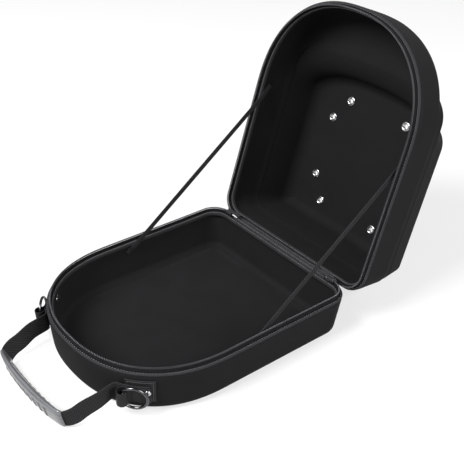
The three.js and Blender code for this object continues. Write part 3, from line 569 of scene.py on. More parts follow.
class Finish:
    """A material's node tree with small helpers for its procedural detail."""

    def __init__(self, name, colour, roughness, metallic=0.0):
        self.material = bpy.data.materials.new(name)
        self.material.use_nodes = True
        self.tree = self.material.node_tree
        self.shader = self.tree.nodes["Principled BSDF"]
        self.shader.inputs["Base Color"].default_value = (*colour, 1.0)
        self.shader.inputs["Roughness"].default_value = roughness
        self.shader.inputs["Metallic"].default_value = metallic
        self.colour = colour

    def node(self, kind, **values):
        made = self.tree.nodes.new(kind)
        for key, value in values.items():
            setattr(made, key, value)
        return made

    def link(self, source, target):
        self.tree.links.new(source, target)

    def texture(self, kind, output, sockets, source="Object", **settings):
        """A texture node on the piece's own coordinates, and the output that is used of it."""
        made = self.node(kind, **settings)
        for socket, value in sockets.items():
            made.inputs[socket].default_value = value
        self.link(self.node("ShaderNodeTexCoord").outputs[source], made.inputs["Vector"])
        return made.outputs[output]

    def noise(self, scale, detail=2.0, roughness=0.5):
        return self.texture(
            "ShaderNodeTexNoise", "Fac", {"Scale": scale, "Detail": detail, "Roughness": roughness}
        )

    def cells(self, scale, feature="F1"):
        return self.texture("ShaderNodeTexVoronoi", "Distance", {"Scale": scale}, feature=feature)

    def stripes(self, scale, direction="X", distortion=0.0):
        """Smooth stripes on the piece's UV map, which is in metres."""
        return self.texture(
            "ShaderNodeTexWave", "Fac", {"Scale": scale, "Distortion": distortion}, "UV",
            wave_type="BANDS", bands_direction=direction, wave_profile="SIN",
        )

    def wear_and_painted_light(self):
        """The piece's own attribute: paler bends of the shells, partly worn and partly painted highlight, and
        painted shade in the grip's slots.
        """
        return self.node("ShaderNodeAttribute", attribute_name="wear_and_painted_light").outputs["Fac"]

    def math(self, operation, a, b):
        made = self.node("ShaderNodeMath", operation=operation)
        for socket, value in zip(made.inputs, (a, b)):
            if isinstance(value, (int, float)):
                socket.default_value = value
            else:
                self.link(value, socket)
        return made.outputs[0]

    def times(self, a, b):
        return self.math("MULTIPLY", a, b)

    def plus(self, a, b):
        return self.math("ADD", a, b)

    def bump(self, height, strength, distance):
        made = self.node("ShaderNodeBump")
        made.inputs["Strength"].default_value = strength
        made.inputs["Distance"].default_value = distance
        self.link(height, made.inputs["Height"])
        self.link(made.outputs["Normal"], self.shader.inputs["Normal"])

    def tint(self, factor, dark, light):
        """Base colour between two multiples of the finish's colour."""
        made = self.node("ShaderNodeMix", data_type="RGBA")
        for socket, share in ((made.inputs[6], dark), (made.inputs[7], light)):
            socket.default_value = (*(c * share for c in self.colour), 1.0)
        self.link(factor, made.inputs[0])
        self.link(made.outputs[2], self.shader.inputs["Base Color"])

    def polish(self, factor, low, high):
        """Roughness from low to high as the factor goes from 0 to 1."""
        made = self.node("ShaderNodeMapRange")
        made.inputs["To Min"].default_value = low
        made.inputs["To Max"].default_value = high
        self.link(factor, made.inputs["Value"])
        self.link(made.outputs["Result"], self.shader.inputs["Roughness"])

    def sheen(self, weight, roughness):
        self.shader.inputs["Sheen Weight"].default_value = weight
        self.shader.inputs["Sheen Roughness"].default_value = roughness

    def gloss(self, level, coat=0.0, coat_roughness=0.1):
        self.shader.inputs["Specular IOR Level"].default_value = level
        self.shader.inputs["Coat Weight"].default_value = coat
        self.shader.inputs["Coat Roughness"].default_value = coat_roughness


FINISHES = {}


def finish(name):
    """The finish of that name, made once."""
    if name not in FINISHES:
        FINISHES[name] = MAKERS[name]()
    return FINISHES[name]


def shell_fabric():
    """Fine knit laminated on foam: sub-millimetre cells, soft mottling, and paler bends that are partly worn
    edges and partly painted highlight.
    """
    f = Finish("shell_fabric", colours().shell, 0.86)
    knit = f.cells(1500.0)
    cloud = f.noise(24.0, 4.0, 0.6)
    fine = f.noise(900.0, 2.0, 0.6)
    mottled = f.plus(f.times(cloud, 0.55), f.times(fine, 0.45))
    # Paler where the skin bends: partly worn edges, partly painted highlight.
    f.tint(f.plus(mottled, f.times(f.wear_and_painted_light(), 0.55)), 0.55, 1.45)
    f.polish(mottled, 0.78, 0.94)
    f.bump(f.plus(f.times(knit, 0.5), f.times(fine, 0.5)), 0.35, 0.0003)
    f.sheen(0.006, 0.5)
    f.gloss(0.07)
    return f.material


def woven(name, colour, rib, cross, strength, ribs_run="X"):
    """Woven cloth on the piece's own UVs: ribs along one way crossed by finer yarns the other way."""
    f = Finish(name, colour, 0.85)
    weave = f.times(f.plus(f.stripes(rib, ribs_run), 0.25), f.plus(f.stripes(cross, "Y"), 0.35))
    cloud = f.noise(60.0, 3.0)
    f.tint(f.plus(f.times(weave, 0.7), f.times(cloud, 0.35)), 0.3, 1.9)
    f.polish(weave, 0.92, 0.72)
    f.bump(weave, strength, 0.0004)
    f.sheen(0.004, 0.45)
    f.gloss(0.06)
    return f.material


def nylon_coil():
    """Satin nylon, a little uneven from tooth to tooth."""
    f = Finish("zip_coil", colours().coil, 0.38)
    f.tint(f.noise(300.0), 0.8, 1.3)
    f.bump(f.noise(2500.0), 0.15, 0.0001)
    f.gloss(0.6)
    return f.material


def leather_cloth():
    """Artificial leather: pebbled grain with darker creases."""
    f = Finish("tab_leather", colours().leather, 0.5)
    grain = f.cells(700.0, "SMOOTH_F1")
    cloud = f.noise(90.0, 3.0)
    f.tint(f.plus(f.times(cloud, 0.5), f.times(grain, 0.6)), 0.4, 1.7)
    f.polish(grain, 0.42, 0.62)
    f.bump(f.plus(grain, f.times(cloud, 0.4)), 0.7, 0.0005)
    f.gloss(0.10)
    return f.material


def plated(name, colour, roughness, spread):
    """Plated metal: faint cloudiness and hairline scratches in the gloss."""
    f = Finish(name, colour, roughness, 1.0)
    f.polish(f.noise(180.0, 4.0, 0.6), roughness, roughness + spread)
    f.tint(f.noise(60.0), 0.9, 1.08)
    f.bump(f.noise(1800.0), 0.04, 0.0001)
    return f.material


def moulded_grip():
    """Moulded plastic with painted reflection lines along it, and painted shade in the slots between its
    ribs.
    """
    f = Finish("grip_plastic", colours().grip, 0.3)
    fine = f.noise(1600.0)
    cloud = f.noise(45.0, 3.0)
    # Painted reflection: light lines along the grip.
    painted_reflection_streaks = f.stripes(48.0, distortion=1.5)
    shine = f.plus(f.times(cloud, 0.3), f.plus(f.times(painted_reflection_streaks, 0.35), 0.45))
    # Base colour: random tone with painted reflection lines, darkened by painted shade in the slots between
    # the ribs.
    f.tint(f.math("SUBTRACT", shine, f.times(f.wear_and_painted_light(), 1.6)), 0.06, 1.25)
    f.polish(fine, 0.26, 0.42)
    f.bump(fine, 0.12, 0.0002)
    f.gloss(0.5, 0.5, 0.12)
    return f.material


def enamel():
    """Dark enamel on cast metal, for the sliders and pulls."""
    f = Finish("slider_metal", colours().coil, 0.35, 0.3)
    f.polish(f.noise(400.0, 3.0), 0.28, 0.45)
    f.tint(f.noise(120.0), 0.8, 1.25)
    f.bump(f.noise(1500.0), 0.06, 0.0001)
    return f.material


def sewing_thread():
    """Twisted thread, paler than the cloth that it holds."""
    f = Finish("sewing_thread", colours().thread, 0.6)
    f.tint(f.noise(2200.0, 1.0), 0.7, 1.4)
    f.bump(f.noise(4000.0, 1.0), 0.3, 0.0001)
    return f.material


def studio_floor():
    """A plain pale floor with a soft light of its own, so that it comes out white."""
    f = Finish("studio_floor", colours().floor, 0.9)
    f.gloss(0.0)
    f.shader.inputs["Emission Color"].default_value = (1.0, 1.0, 1.0, 1.0)
    f.shader.inputs["Emission Strength"].default_value = 0.56
    return f.material


MAKERS = {
    "shell_fabric": shell_fabric,
    "rim_trim": lambda: woven("rim_trim", colours().trim, 520.0, 700.0, 0.45),
    "binding": lambda: woven("rim_binding", colours().binding, 380.0, 520.0, 0.5),
    "webbing": lambda: woven("webbing", colours().webbing, 125.0, 95.0, 1.0, "DIAGONAL"),
    "zip_tape": lambda: woven("zip_tape", colours().shell, 520.0, 700.0, 0.45),
    "zip_coil": nylon_coil,
    "tab_leather": leather_cloth,
    "nickel": lambda: plated("nickel", colours().nickel, 0.17, 0.12),
    "ring_metal": lambda: plated("ring_metal", colours().ring, 0.15, 0.10),
    "grip_plastic": moulded_grip,
    "slider_metal": enamel,
    "thread": sewing_thread,
    "floor": studio_floor,
}


# Shells

BEND_STEPS = 12
TRAY_WALL_STEPS = 14
TRAY_FLOOR_STEPS = 14
LID_WALL_STEPS = 12
LID_ZONE_STEPS = 22
LID_BACK_STEPS = 16
POLE_SHARE = 0.06
LEDGE_ROUNDING = 0.0012
LEDGE_STEPS = 5
BELOW_LEDGE = 0.003
LID_CENTRE = np.array([0.0, 0.150])

# Heights on the lid's crown, as shares of its rise: its first ring, and the first one over it.
CROWN_FIRST = 0.03
CROWN_PAST = 1.1
# How strongly the skin's bends are paled: partly worn edges, partly painted highlight.
WEAR_AND_HIGHLIGHT_GAIN = 9.0

CUTTER_SIDES = 40
RIVET_HOLE_RADIUS = 0.0021
RIVET_HOLE_REACH = 0.012

# Rows of eyelets: name, distance from the lid's middle line, and distance from the hinge.
EYELET_ROWS = (
    ("top", 0.0578, 0.2327),
    ("upper", 0.0838, 0.1956),
    ("lower", 0.0838, 0.0939),
    ("bottom", 0.0578, 0.0545),
)


def shrink(ring, count):
    """Copies of a ring drawn in towards its middle, for a flat floor."""
    middle = ring.mean(axis=0)
    return [middle + (ring - middle) * share for share in np.linspace(1.0, POLE_SHARE, count)[1:]]


def rim_ledge(outline, draft):
    """The shell's rounded top edge, from the outer wall over to the inner wall, leaning in with the wall."""
    r = rim()
    soft = LEDGE_ROUNDING
    near, top = r.ledge_start + soft, r.shell_top + soft
    outer = [(near - soft * np.cos(a), top - soft * np.sin(a)) for a in quarter(LEDGE_STEPS)]
    inner = [(2 * r.ledge_start + r.ledge - m, d) for m, d in outer[::-1]]
    return [ring_at(outline, m + draft * d, d) for m, d in outer + inner]


def tray_inset(wall, depth):
    """How far inside the outline the tray's wall lies at a depth, with its draft."""
    return wall + shells().tray_draft * depth / shells().tray_height


def tray_rings(outline, bottom, radius, wall):
    """One face of the tray: its wall, then a round edge with depth = bottom - r + r sin t and an inset that
    grows by r (1 - cos t)."""
    t = quarter(BEND_STEPS)
    straight = np.linspace(rim().shell_top + BELOW_LEDGE, bottom - radius, TRAY_WALL_STEPS)[:-1]
    depths = np.concatenate([straight, bottom - radius + radius * np.sin(t)])
    turned_in = np.concatenate([0 * straight, radius * (1 - np.cos(t))])
    return [ring_at(outline, tray_inset(wall, d) + m, d) for d, m in zip(depths, turned_in)]


def tray_grid():
    """Rings of the tray: underside, outer face, top edge, inner face and floor."""
    s = shells()
    outline = case_outline()
    outer = tray_rings(outline, s.tray_height, s.tray_edge, 0.0)
    inner = tray_rings(outline, s.tray_height - s.tray_floor, s.tray_inner_edge, s.tray_wall)
    underside, floor = (shrink(face[-1], TRAY_FLOOR_STEPS) for face in (outer, inner))
    ledge = rim_ledge(outline, s.tray_draft / s.tray_height)
    return np.array(underside[::-1] + outer[::-1] + ledge + inner + floor)


def edge_inset(level, top, radius):
    """Extra inset of a round edge that runs out at a top level: r - sqrt(r^2 - into^2)."""
    into = np.clip(level - top + radius, 0.0, radius)
    return radius - np.sqrt(radius**2 - into**2)


def deep_outline(height):
    """The deep body's outline at a height above the shallow one: its arch end moves out at the root by
    r - sqrt(r^2 - (r - height)^2), and its hinge end moves back in step with the height."""
    s = shells()
    start = -s.deep_spread * height / (s.deep_depth - s.shallow_depth)
    below = max(0.0, s.deep_root - height)
    sweep = s.deep_root - np.sqrt(s.deep_root**2 - below**2)
    outline = arched_outline(s.deep_length + sweep - start, s.deep_arch, s.deep_exponent, RIM_LOOP_POINTS)
    return outline + (0.0, start)


def lid_ring(level, wall, outline):
    """A ring of the lid: in each direction the larger of the shallow and the deep body,
    blended as (a + b + sqrt((a - b)^2 + blend^2)) / 2."""
    s = shells()
    shallow_top = s.shallow_depth - wall
    above = (level - shallow_top) / s.crown_rise
    height = max(0.0, level - shallow_top)
    draft = s.shallow_draft * min(level, shallow_top) / s.shallow_depth
    shallow = inset(outline, wall + draft + edge_inset(level, shallow_top, s.shallow_edge - wall))
    deep_in = wall + s.deep_step + s.deep_draft * height / (s.deep_depth - s.shallow_depth)
    deep_edge = edge_inset(level, s.deep_depth - wall, s.deep_edge - wall)
    deep = inset(deep_outline(height), deep_in + deep_edge)
    angles = np.arctan2(outline[:, 1] - LID_CENTRE[1], outline[:, 0] - LID_CENTRE[0])
    r = b = polar_radius(deep, LID_CENTRE, angles)
    if above <= 1:
        a = polar_radius(shallow, LID_CENTRE, angles) * (1 - s.crown_reach * np.clip(above, 0.0, 1.0))
        r = (a + b + np.hypot(a - b, s.zone_blend)) / 2
    flat = LID_CENTRE + r[:, None] * np.column_stack([np.cos(angles), np.sin(angles)])
    return np.column_stack([flat, np.full(len(flat), level)])


def lid_rings(wall):
    """One face of the lid: shallow wall and shoulder, crown, deep wall and its round edge."""
    s = shells()
    outline = case_outline()
    shallow_top, deep_top = s.shallow_depth - wall, s.deep_depth - wall
    shoulder, edge = s.shallow_edge - wall, s.deep_edge - wall
    rise = np.sin(quarter(BEND_STEPS)[1:])
    levels = np.concatenate(
        [
            np.linspace(rim().shell_top + BELOW_LEDGE, shallow_top - shoulder, LID_WALL_STEPS),
            shallow_top - shoulder + shoulder * rise,
            shallow_top + s.crown_rise * np.linspace(CROWN_FIRST, 1.0, LID_ZONE_STEPS),
            np.linspace(shallow_top + s.crown_rise * CROWN_PAST, deep_top - edge, LID_ZONE_STEPS),
            deep_top - edge + edge * rise,
        ]
    )
    return [lid_ring(level, wall, outline) for level in levels]


def lid_grid():
    """Rings of the lid: back, outer face, top edge, inner face and the back's inside."""
    s = shells()
    outer, inner = lid_rings(0.0), lid_rings(s.lid_wall)
    back, inside = (shrink(face[-1], LID_BACK_STEPS) for face in (outer, inner))
    ledge = rim_ledge(case_outline(), s.shallow_draft / s.shallow_depth)
    return np.array(back[::-1] + outer[::-1] + ledge + inner + inside)


def worn_and_highlit_rows(grid):
    """Paler where the skin turns, partly worn edges and partly painted highlight: one less the cosine between
    neighbouring rows, scaled and kept to one.
    """
    run = unit(np.diff(grid, axis=0))
    turn = np.zeros(grid.shape[:2])
    turn[1:-1] = 1 - np.sum(run[1:] * run[:-1], axis=-1)
    return np.clip(turn * WEAR_AND_HIGHLIGHT_GAIN, 0.0, 1.0)


def cut_round_holes(made, centres, direction, radius, reach):
    """Round holes through a shell, cut with one boolean and applied."""
    n = CUTTER_SIDES
    across = unit(np.cross(direction, SIDEWAYS))
    a = full_turn(n)[:, None]
    circle = radius * (np.cos(a) * across + np.sin(a) * np.cross(direction, across))
    rings = np.stack([circle - direction * reach, circle + direction * reach])
    verts = (np.asarray(centres)[:, None, None] + rings).reshape(-1, 3)
    near = np.arange(n)
    after = np.roll(near, -1)
    sides = np.column_stack([near, after, after + n, near + n])
    faces = []
    for start in range(0, len(verts), 2 * n):
        faces += (sides + start).tolist()
        faces += [(near[::-1] + start).tolist(), (near + n + start).tolist()]
    cutters = bpy.data.meshes.new("hole_cutters")
    cutters.from_pydata(verts.tolist(), [], faces)
    if not outward(verts[: 2 * n], sides):
        cutters.flip_normals()
    tool = bpy.data.objects.new("hole_cutters", cutters)
    bpy.context.scene.collection.objects.link(tool)
    modifier = made.modifiers.new("holes", "BOOLEAN")
    modifier.operation = "DIFFERENCE"
    modifier.solver = "EXACT"
    modifier.object = tool
    graph = bpy.context.evaluated_depsgraph_get()
    result = bpy.data.meshes.new_from_object(made.evaluated_get(graph))
    made.modifiers.clear()
    old = made.data
    made.data = result
    bpy.data.meshes.remove(old)
    bpy.data.objects.remove(tool)
    bpy.data.meshes.remove(cutters)
    made.data.name = made.name
    made.data.set_sharp_from_angle(angle=np.radians(SHARP))


def eyelet_centre(sign, across, along):
    """The middle of the lid's back at an eyelet."""
    s = shells()
    return lid_place((sign * across, along, s.deep_depth - s.lid_wall / 2))


class CASE_OT_shells(bpy.types.Operator):
    """Builds the two moulded shells, hollow, with rounded edges and holes for the rivets and eyelets"""

    bl_idname = "case.shells"
    bl_label = "Shells"

    def execute(self, context):
        tray = tray_grid()
        cloth = finish("shell_fabric")
        made = skin("tray_shell_skin", tray_place(tray), cloth, poles=True, wear_and_painted_light=worn_and_highlit_rows(tray))
        for _, sign in SIDES:
            seat = tab_frame(sign) @ rivet_seat()
            cut_round_holes(made, [seat[:3, 3]], seat[:3, 2], RIVET_HOLE_RADIUS, RIVET_HOLE_REACH)
        settle(made, "shell_fabric", "tray_shell")
        lid = lid_grid()
        made = skin("lid_shell_skin", lid_place(lid), cloth, poles=True, wear_and_painted_light=worn_and_highlit_rows(lid))
        centres = [eyelet_centre(sign, *row[1:]) for row in EYELET_ROWS for _, sign in SIDES]
        cut_round_holes(made, centres, lid_axes()[1], fittings().eyelet_hole, 3 * shells().lid_wall)
        settle(made, "shell_fabric", "lid_shell")
        return {"FINISHED"}


# Rim

# Corners of the rolled binding's section, as shares of its width and height, and the points for each.
BINDING_SECTION = ((0.05, 1.0), (0.7, 0.96), (1.0, 0.55), (0.82, 0.12), (0.45, 0.0), (0.16, 0.2))
PER_CORNER = 4

# Where the binding is sewn: share of its width, and depths of the row and of a point over it.
BINDING_ROW = 0.75
BINDING_ROW_DEPTHS = (0.0007, -0.001)

# From the piping cord's middle to its sewn row and to a point over the row, as inset and depth.
PIPING_ROW = ((0.0010, -0.0017), (0.0016, -0.0028))
PIPING_STITCH = {"pitch": 0.0042, "radius": 0.00045, "reach": 0.25}
PIPING_PULL = 0.07
PIPING_SIDES = 14
TAPE_ROUNDING = 0.0004

COIL_WIRE = 0.00052
COIL_WIRE_SIDES = 6
COIL_STEPS = 14
CORE_RADIUS = 0.00075
CORE_SIDES = 8
CORE_POINTS = 900

# The hinge's middle line between its sewn edges: inset, and height over the rim plane besides half the cloth.
HINGE_OVER_TRAY = ((0.0034, 0.00065), (-0.0016, 0.00085))
HINGE_OVER_LID = ((0.005, 0.00365),)
# Where the hinge leaves the tray's rim and meets the lid's: its depth and height there, and its inset.
HINGE_RIM_DEPTH = 0.0004
HINGE_LID_INSET = 0.0056
HINGE_POINTS = 60
HINGE_COLUMNS = 60
HINGE_ROUNDING = 0.0005
HINGE_CLEAR = 0.001
HINGE_ROWS = (17, 29, 41)
HINGE_ROW_POINTS = 80
HINGE_ROW_END = 0.003


def rim_loop(amount, depth, count=RIM_LOOP_POINTS):
    """A closed line round the rim at an inset and depth."""
    return ring_at(case_outline(count), amount, depth)


def open_rim_line(amount, depth, end_x, count=RIM_LOOP_POINTS):
    """The rim line, open across the hinge between two ends at +-end_x."""
    line = rim_loop(amount, depth, count)
    keep = (line[:, 1] > shells().length / 2) | (np.abs(line[:, 0]) > end_x)
    first = np.array([[end_x, amount, depth]])
    return np.vstack([first, line[keep], first * (-1, 1, 1)])


def hinge_reach():
    """Half the straight part of the rim along the hinge."""
    return shells().width / 2 - shells().corner_radius


def binding_start():
    """Inset of the binding's outer side."""
    r = rim()
    return r.ledge_start + r.ledge + r.binding_gap


def binding_profile():
    """The rolled binding's section, smoothed through its corners."""
    r = rim()
    size = (r.binding_width, r.binding_height)
    corners = (binding_start(), r.binding_top) + np.array(BINDING_SECTION) * size
    wrapped = np.vstack([corners[-2:], corners, corners[:2]])
    curve = centripetal(wrapped, PER_CORNER * (len(wrapped) - 1) + 1)
    return curve[2 * PER_CORNER :][: PER_CORNER * len(corners)]


class CASE_OT_rim(bpy.types.Operator):
    """Builds piping, binding and zip tape round both rims"""

    bl_idname = "case.rim"
    bl_label = "Rim"

    def execute(self, context):
        r = rim()
        cord_at = np.array([r.piping_inset, r.piping_depth])
        row_inset = binding_start() + BINDING_ROW * r.binding_width
        binding_row = [(row_inset, depth) for depth in BINDING_ROW_DEPTHS]
        for half, place in HALVES:
            path = place(rim_loop(*cord_at))
            inward = unit(place(rim_loop(*(cord_at + (ASIDE, 0.0)))) - path)
            pull = np.cos(2 * np.pi * run_length(path) / r.stitch_pitch) ** 2
            radius = r.piping_radius * (1 - PIPING_PULL * pull)
            cord = tube(
                half + "_piping_cord", path, radius, PIPING_SIDES, finish("rim_trim"), inward, closed=True
            )
            settle(cord, "rim_trim", half + "_piping")
            section = place(np.stack([rim_loop(*point) for point in binding_profile()], axis=1))
            roll = skin(half + "_binding_roll", section, finish("binding"), close_rows=True, sharp=60.0)
            settle(roll, "rim_trim", half + "_binding")
            self.sewn_row(half + "_binding_stitches", place, binding_row, pitch=r.stitch_pitch)
            self.sewn_row(half + "_piping_stitches", place, cord_at + PIPING_ROW, **PIPING_STITCH)
            self.tape(half, place)
        return {"FINISHED"}

    @staticmethod
    def sewn_row(name, place, row, **thread):
        """Stitches round the rim; row holds the inset and depth of its line and of a point over it."""
        line, over = (place(rim_loop(*point)) for point in row)
        settle(stitches(name, line, unit(over - line), **thread), "rim_trim")

    @staticmethod
    def tape(half, place):
        """Zip tape: foot sewn behind the piping, head leaning under the coil."""
        r = rim()
        end_x = hinge_reach() - r.tape_end
        foot = place(open_rim_line(r.tape_foot_inset, r.tape_foot, end_x, RIM_POINTS))
        head = place(open_rim_line(r.tape_head_inset, -r.tape_rise, end_x, RIM_POINTS))
        width = head - foot
        half_width = np.linalg.norm(width, axis=1).mean() / 2
        tape = band(
            half + "_zip_tape_weave", (foot + head) / 2, unit(width), half_width, r.tape_thickness,
            TAPE_ROUNDING, finish("zip_tape"),
        )
        settle(tape, "rim_trim", half + "_zip_tape")


class CASE_OT_zip(bpy.types.Operator):
    """Builds the zip coils as helices round a cord, open across the hinge"""

    bl_idname = "case.zip"
    bl_label = "Zip coils"

    def execute(self, context):
        """helix = line + r * (cos a * inward + sin a * lift), one turn of a for each tooth."""
        r = rim()
        end_x = hinge_reach() + r.coil_end
        for half, place in HALVES:
            line, inner = (
                place(open_rim_line(r.coil_inset + aside, -r.coil_rise, end_x)) for aside in (0.0, ASIDE)
            )
            turns = int(run_length(line)[-1] / r.coil_pitch)
            path = resample(line, turns * COIL_STEPS)
            inward = unit(resample(inner, len(path)) - path)
            a = np.linspace(0, 2 * np.pi * turns, len(path))[:, None]
            spoke = np.cos(a) * inward + np.sin(a) * np.cross(path_run(path), inward)
            helix = path + (r.coil_radius - COIL_WIRE) * spoke
            coil = tube(half + "_coil_teeth", helix, COIL_WIRE, COIL_WIRE_SIDES, finish("zip_coil"), spoke)
            settle(coil, "zip_coil", half + "_zip_coil")
            path = resample(line, CORE_POINTS)
            up = unit(resample(inner, CORE_POINTS) - path)
            cord = tube(half + "_coil_core", path, CORE_RADIUS, CORE_SIDES, finish("zip_tape"), up)
            settle(cord, "zip_coil")
        return {"FINISHED"}


class CASE_OT_hinge(bpy.types.Operator):
    """Builds the textile hinge that runs from rim to rim, with its sewn rows"""

    bl_idname = "case.hinge"
    bl_label = "Textile hinge"

    def execute(self, context):
        r = rim()
        over = r.hinge_thickness / 2
        foot = r.tape_foot_inset
        on_tray = [(foot, r.hinge_tuck), (foot, HINGE_RIM_DEPTH)]
        on_tray += [(amount, -over - rise) for amount, rise in HINGE_OVER_TRAY]
        on_lid = [(amount, -over - rise) for amount, rise in HINGE_OVER_LID]
        on_lid += [(HINGE_LID_INSET, -HINGE_RIM_DEPTH), (foot, r.hinge_tuck)]
        points = np.array(
            [tray_place((0.0, *point)) for point in on_tray] + [lid_place((0.0, *point)) for point in on_lid]
        )
        path = centripetal(points * (0.0, 1.0, 1.0), HINGE_POINTS)
        half_width = hinge_reach() - r.tape_end - shells().lid_shift - HINGE_CLEAR
        across = np.tile(SIDEWAYS, (len(path), 1))
        strip = band(
            "hinge_cloth", path, across, half_width, r.hinge_thickness, HINGE_ROUNDING, finish("rim_trim"),
            columns=HINGE_COLUMNS,
        )
        settle(strip, "rim_trim", "hinge_strip")
        normal = unit(np.cross(path_run(path), across))
        normal *= np.sign(normal[len(path) // 2, 2])
        end = half_width - HINGE_ROW_END
        for k, row in enumerate(HINGE_ROWS):
            middle = path[row] + normal[row] * over
            line = middle + np.linspace(-end, end, HINGE_ROW_POINTS)[:, None] * SIDEWAYS
            up = np.tile(normal[row], (len(line), 1))
            settle(stitches(f"hinge_stitches_{k + 1}", line, up, r.stitch_pitch), "rim_trim")
        return {"FINISHED"}


# Eyelets, tabs and rings

EYELET_GAP = 0.00035
FLANGE_STEPS = 9

# How finely the arch wall is sampled, and how far along and below a tab it is followed.
WALL_SAMPLES = 1200
WALL_REACH = 0.045
WALL_BELOW = 0.03
ARCH_STEP = 1e-4

LAYER_GAP = 0.0006
PATCH_ROUNDING = 0.0008
PATCH_COLUMNS = 40
PATCH_ROWS = 34
PATCH_SLOPE_STEP = 0.0005
# The patch's raised border and the groove of its seam: height, distance from the edge, and width.
PATCH_BORDER = (0.00035, 0.0014, 0.0008)
PATCH_SEAM = (-0.0002, 0.0032, 0.0005)
PATCH_SEAM_POINTS = 160
PATCH_STITCH_PITCH = 0.0028
THREAD_SINK = 0.0001

# The ring loop: where its upper layer leaves the wall, the angle at which it meets the tube, and its edges.
LOOP_LEAVES = 0.0105
LOOP_MEETS = -0.32
LOOP_LIFT = 0.0001
LOOP_STRIP_POINTS = 150
LOOP_TAIL_STEPS = 14
LOOP_ROUND_STEPS = 44
LOOP_BACK_STEPS = 20
LOOP_COLUMNS = 14
LOOP_THINNER = 0.0002
LOOP_ROUNDING = 0.0005
RING_POINTS = 120
RING_SIDES = 20

# The rivet: half the wall span that gives its tilt, its shank, and the gap, edge and dome of head and cap.
RIVET_SPAN = 0.0018
RIVET_SHANK = 0.0018
RIVET_HEAD_GAP = 0.0009
RIVET_HEAD_EDGE = 0.0006
RIVET_CAP_GAP = 0.0003
RIVET_CAP_EDGE = 0.0005
RIVET_DOME = 0.0013
RIVET_STEPS = 9
POINTED = 1e-5


def dome(inner, outer, base, height):
    """A rounded annular flange: height * sqrt(1 - q^2) with q from one rim to the other."""
    q = np.cos(np.linspace(np.pi, 0.0, FLANGE_STEPS))
    middle, half = (inner + outer) / 2, (outer - inner) / 2
    return [(middle + half * v, base + height * np.sqrt(max(0.0, 1 - v * v))) for v in q]


class CASE_OT_eyelets(bpy.types.Operator):
    """Builds the eight nickel vent eyelets with rolled flanges on both faces"""

    bl_idname = "case.eyelets"
    bl_label = "Vent eyelets"

    def execute(self, context):
        f = fittings()
        half = shells().lid_wall / 2 + EYELET_GAP
        upper = dome(f.eyelet_bore, f.eyelet_radius, half, f.eyelet_flange)
        lower = [(r, -z) for r, z in upper[::-1]]
        barrel = f.eyelet_hole - EYELET_GAP
        profile = upper + [(barrel, half), (barrel, -half)] + lower
        out = lid_axes()[1]
        for row, across, along in EYELET_ROWS:
            for side, sign in SIDES:
                centre = eyelet_centre(sign, across, along)
                place = place_matrix(SIDEWAYS, np.cross(out, SIDEWAYS), out, centre)
                name = f"eyelet_{row}_{side}"
                settle(lathe(name + "_rolled", profile, place, closed=True, sharp=60.0), "nickel", name)
        return {"FINISHED"}


def arch_point(t):
    """The arch's outline at an angle, at the tabs' height."""
    s = shells()
    across = s.width / 2 * np.cos(t) ** (2 / s.arch_exponent)
    out = s.arch_depth * np.sin(t) ** (2 / s.arch_exponent)
    return np.array([across, -s.length / 2 + s.arch_depth - out, fittings().tab_height])


def tab_depth():
    """The tabs' centre below the rim plane."""
    return shells().tray_height - fittings().tab_height


def tab_frame(side):
    """Frame on the arch wall: x along the wall towards the hinge, y up the wall, z outwards."""
    s = shells()
    f = fittings()
    along = unit(arch_point(f.tab_angle - ARCH_STEP) - arch_point(f.tab_angle))
    outwards = np.array([along[1], -along[0], 0.0])
    tilt = np.arctan(s.tray_draft / s.tray_height)
    up = np.array([0.0, 0.0, np.cos(tilt)]) + outwards * np.sin(tilt)
    origin = arch_point(f.tab_angle) - outwards * tray_inset(0.0, tab_depth())
    made = place_matrix(along, up, np.cross(along, up), origin)
    made[0] *= side
    return made


def wall_at(along):
    """How far the curved wall lies from the tab's plane at distances along it."""
    depth = tab_depth()
    line = tray_place(ring_at(case_outline(WALL_SAMPLES), tray_inset(0.0, depth), depth))
    local = move(line, np.linalg.inv(tab_frame(1)))
    near = local[(np.abs(local[:, 0]) < WALL_REACH) & (local[:, 2] > -WALL_BELOW)]
    near = near[np.argsort(near[:, 0])]
    return np.interp(along, near[:, 0], near[:, 2])


def layers():
    """Distances of the tab's layers from the wall: patch, webbing, loop tail and its top."""
    f = fittings()
    patch = f.patch_gap + f.patch_thickness
    webbing = patch + LAYER_GAP + f.webbing_thickness / 2
    tail = webbing + f.webbing_thickness / 2 + LAYER_GAP
    return patch, webbing, tail, tail + 2 * f.loop_leather


def loop_middle():
    """Height of the loop's tube over the tab's plane."""
    return layers()[2] + wall_at(-fittings().loop_along) + fittings().loop_radius


def rivet_seat():
    """Frame at the rivet on the wall, with z along the wall's own normal."""
    f = fittings()
    low, high = wall_at(f.rivet_along - RIVET_SPAN), wall_at(f.rivet_along + RIVET_SPAN)
    across = unit(np.array([2 * RIVET_SPAN, 0.0, high - low]))
    up = np.array([0.0, 1.0, 0.0])
    origin = (f.rivet_along, f.rivet_rise, wall_at(f.rivet_along))
    return place_matrix(across, up, np.cross(across, up), origin)


def bead(distance, height, middle, width):
    """A rounded ridge: height * exp(-((distance - middle) / width)^2)."""
    return height * np.exp(-(((distance - middle) / width) ** 2))


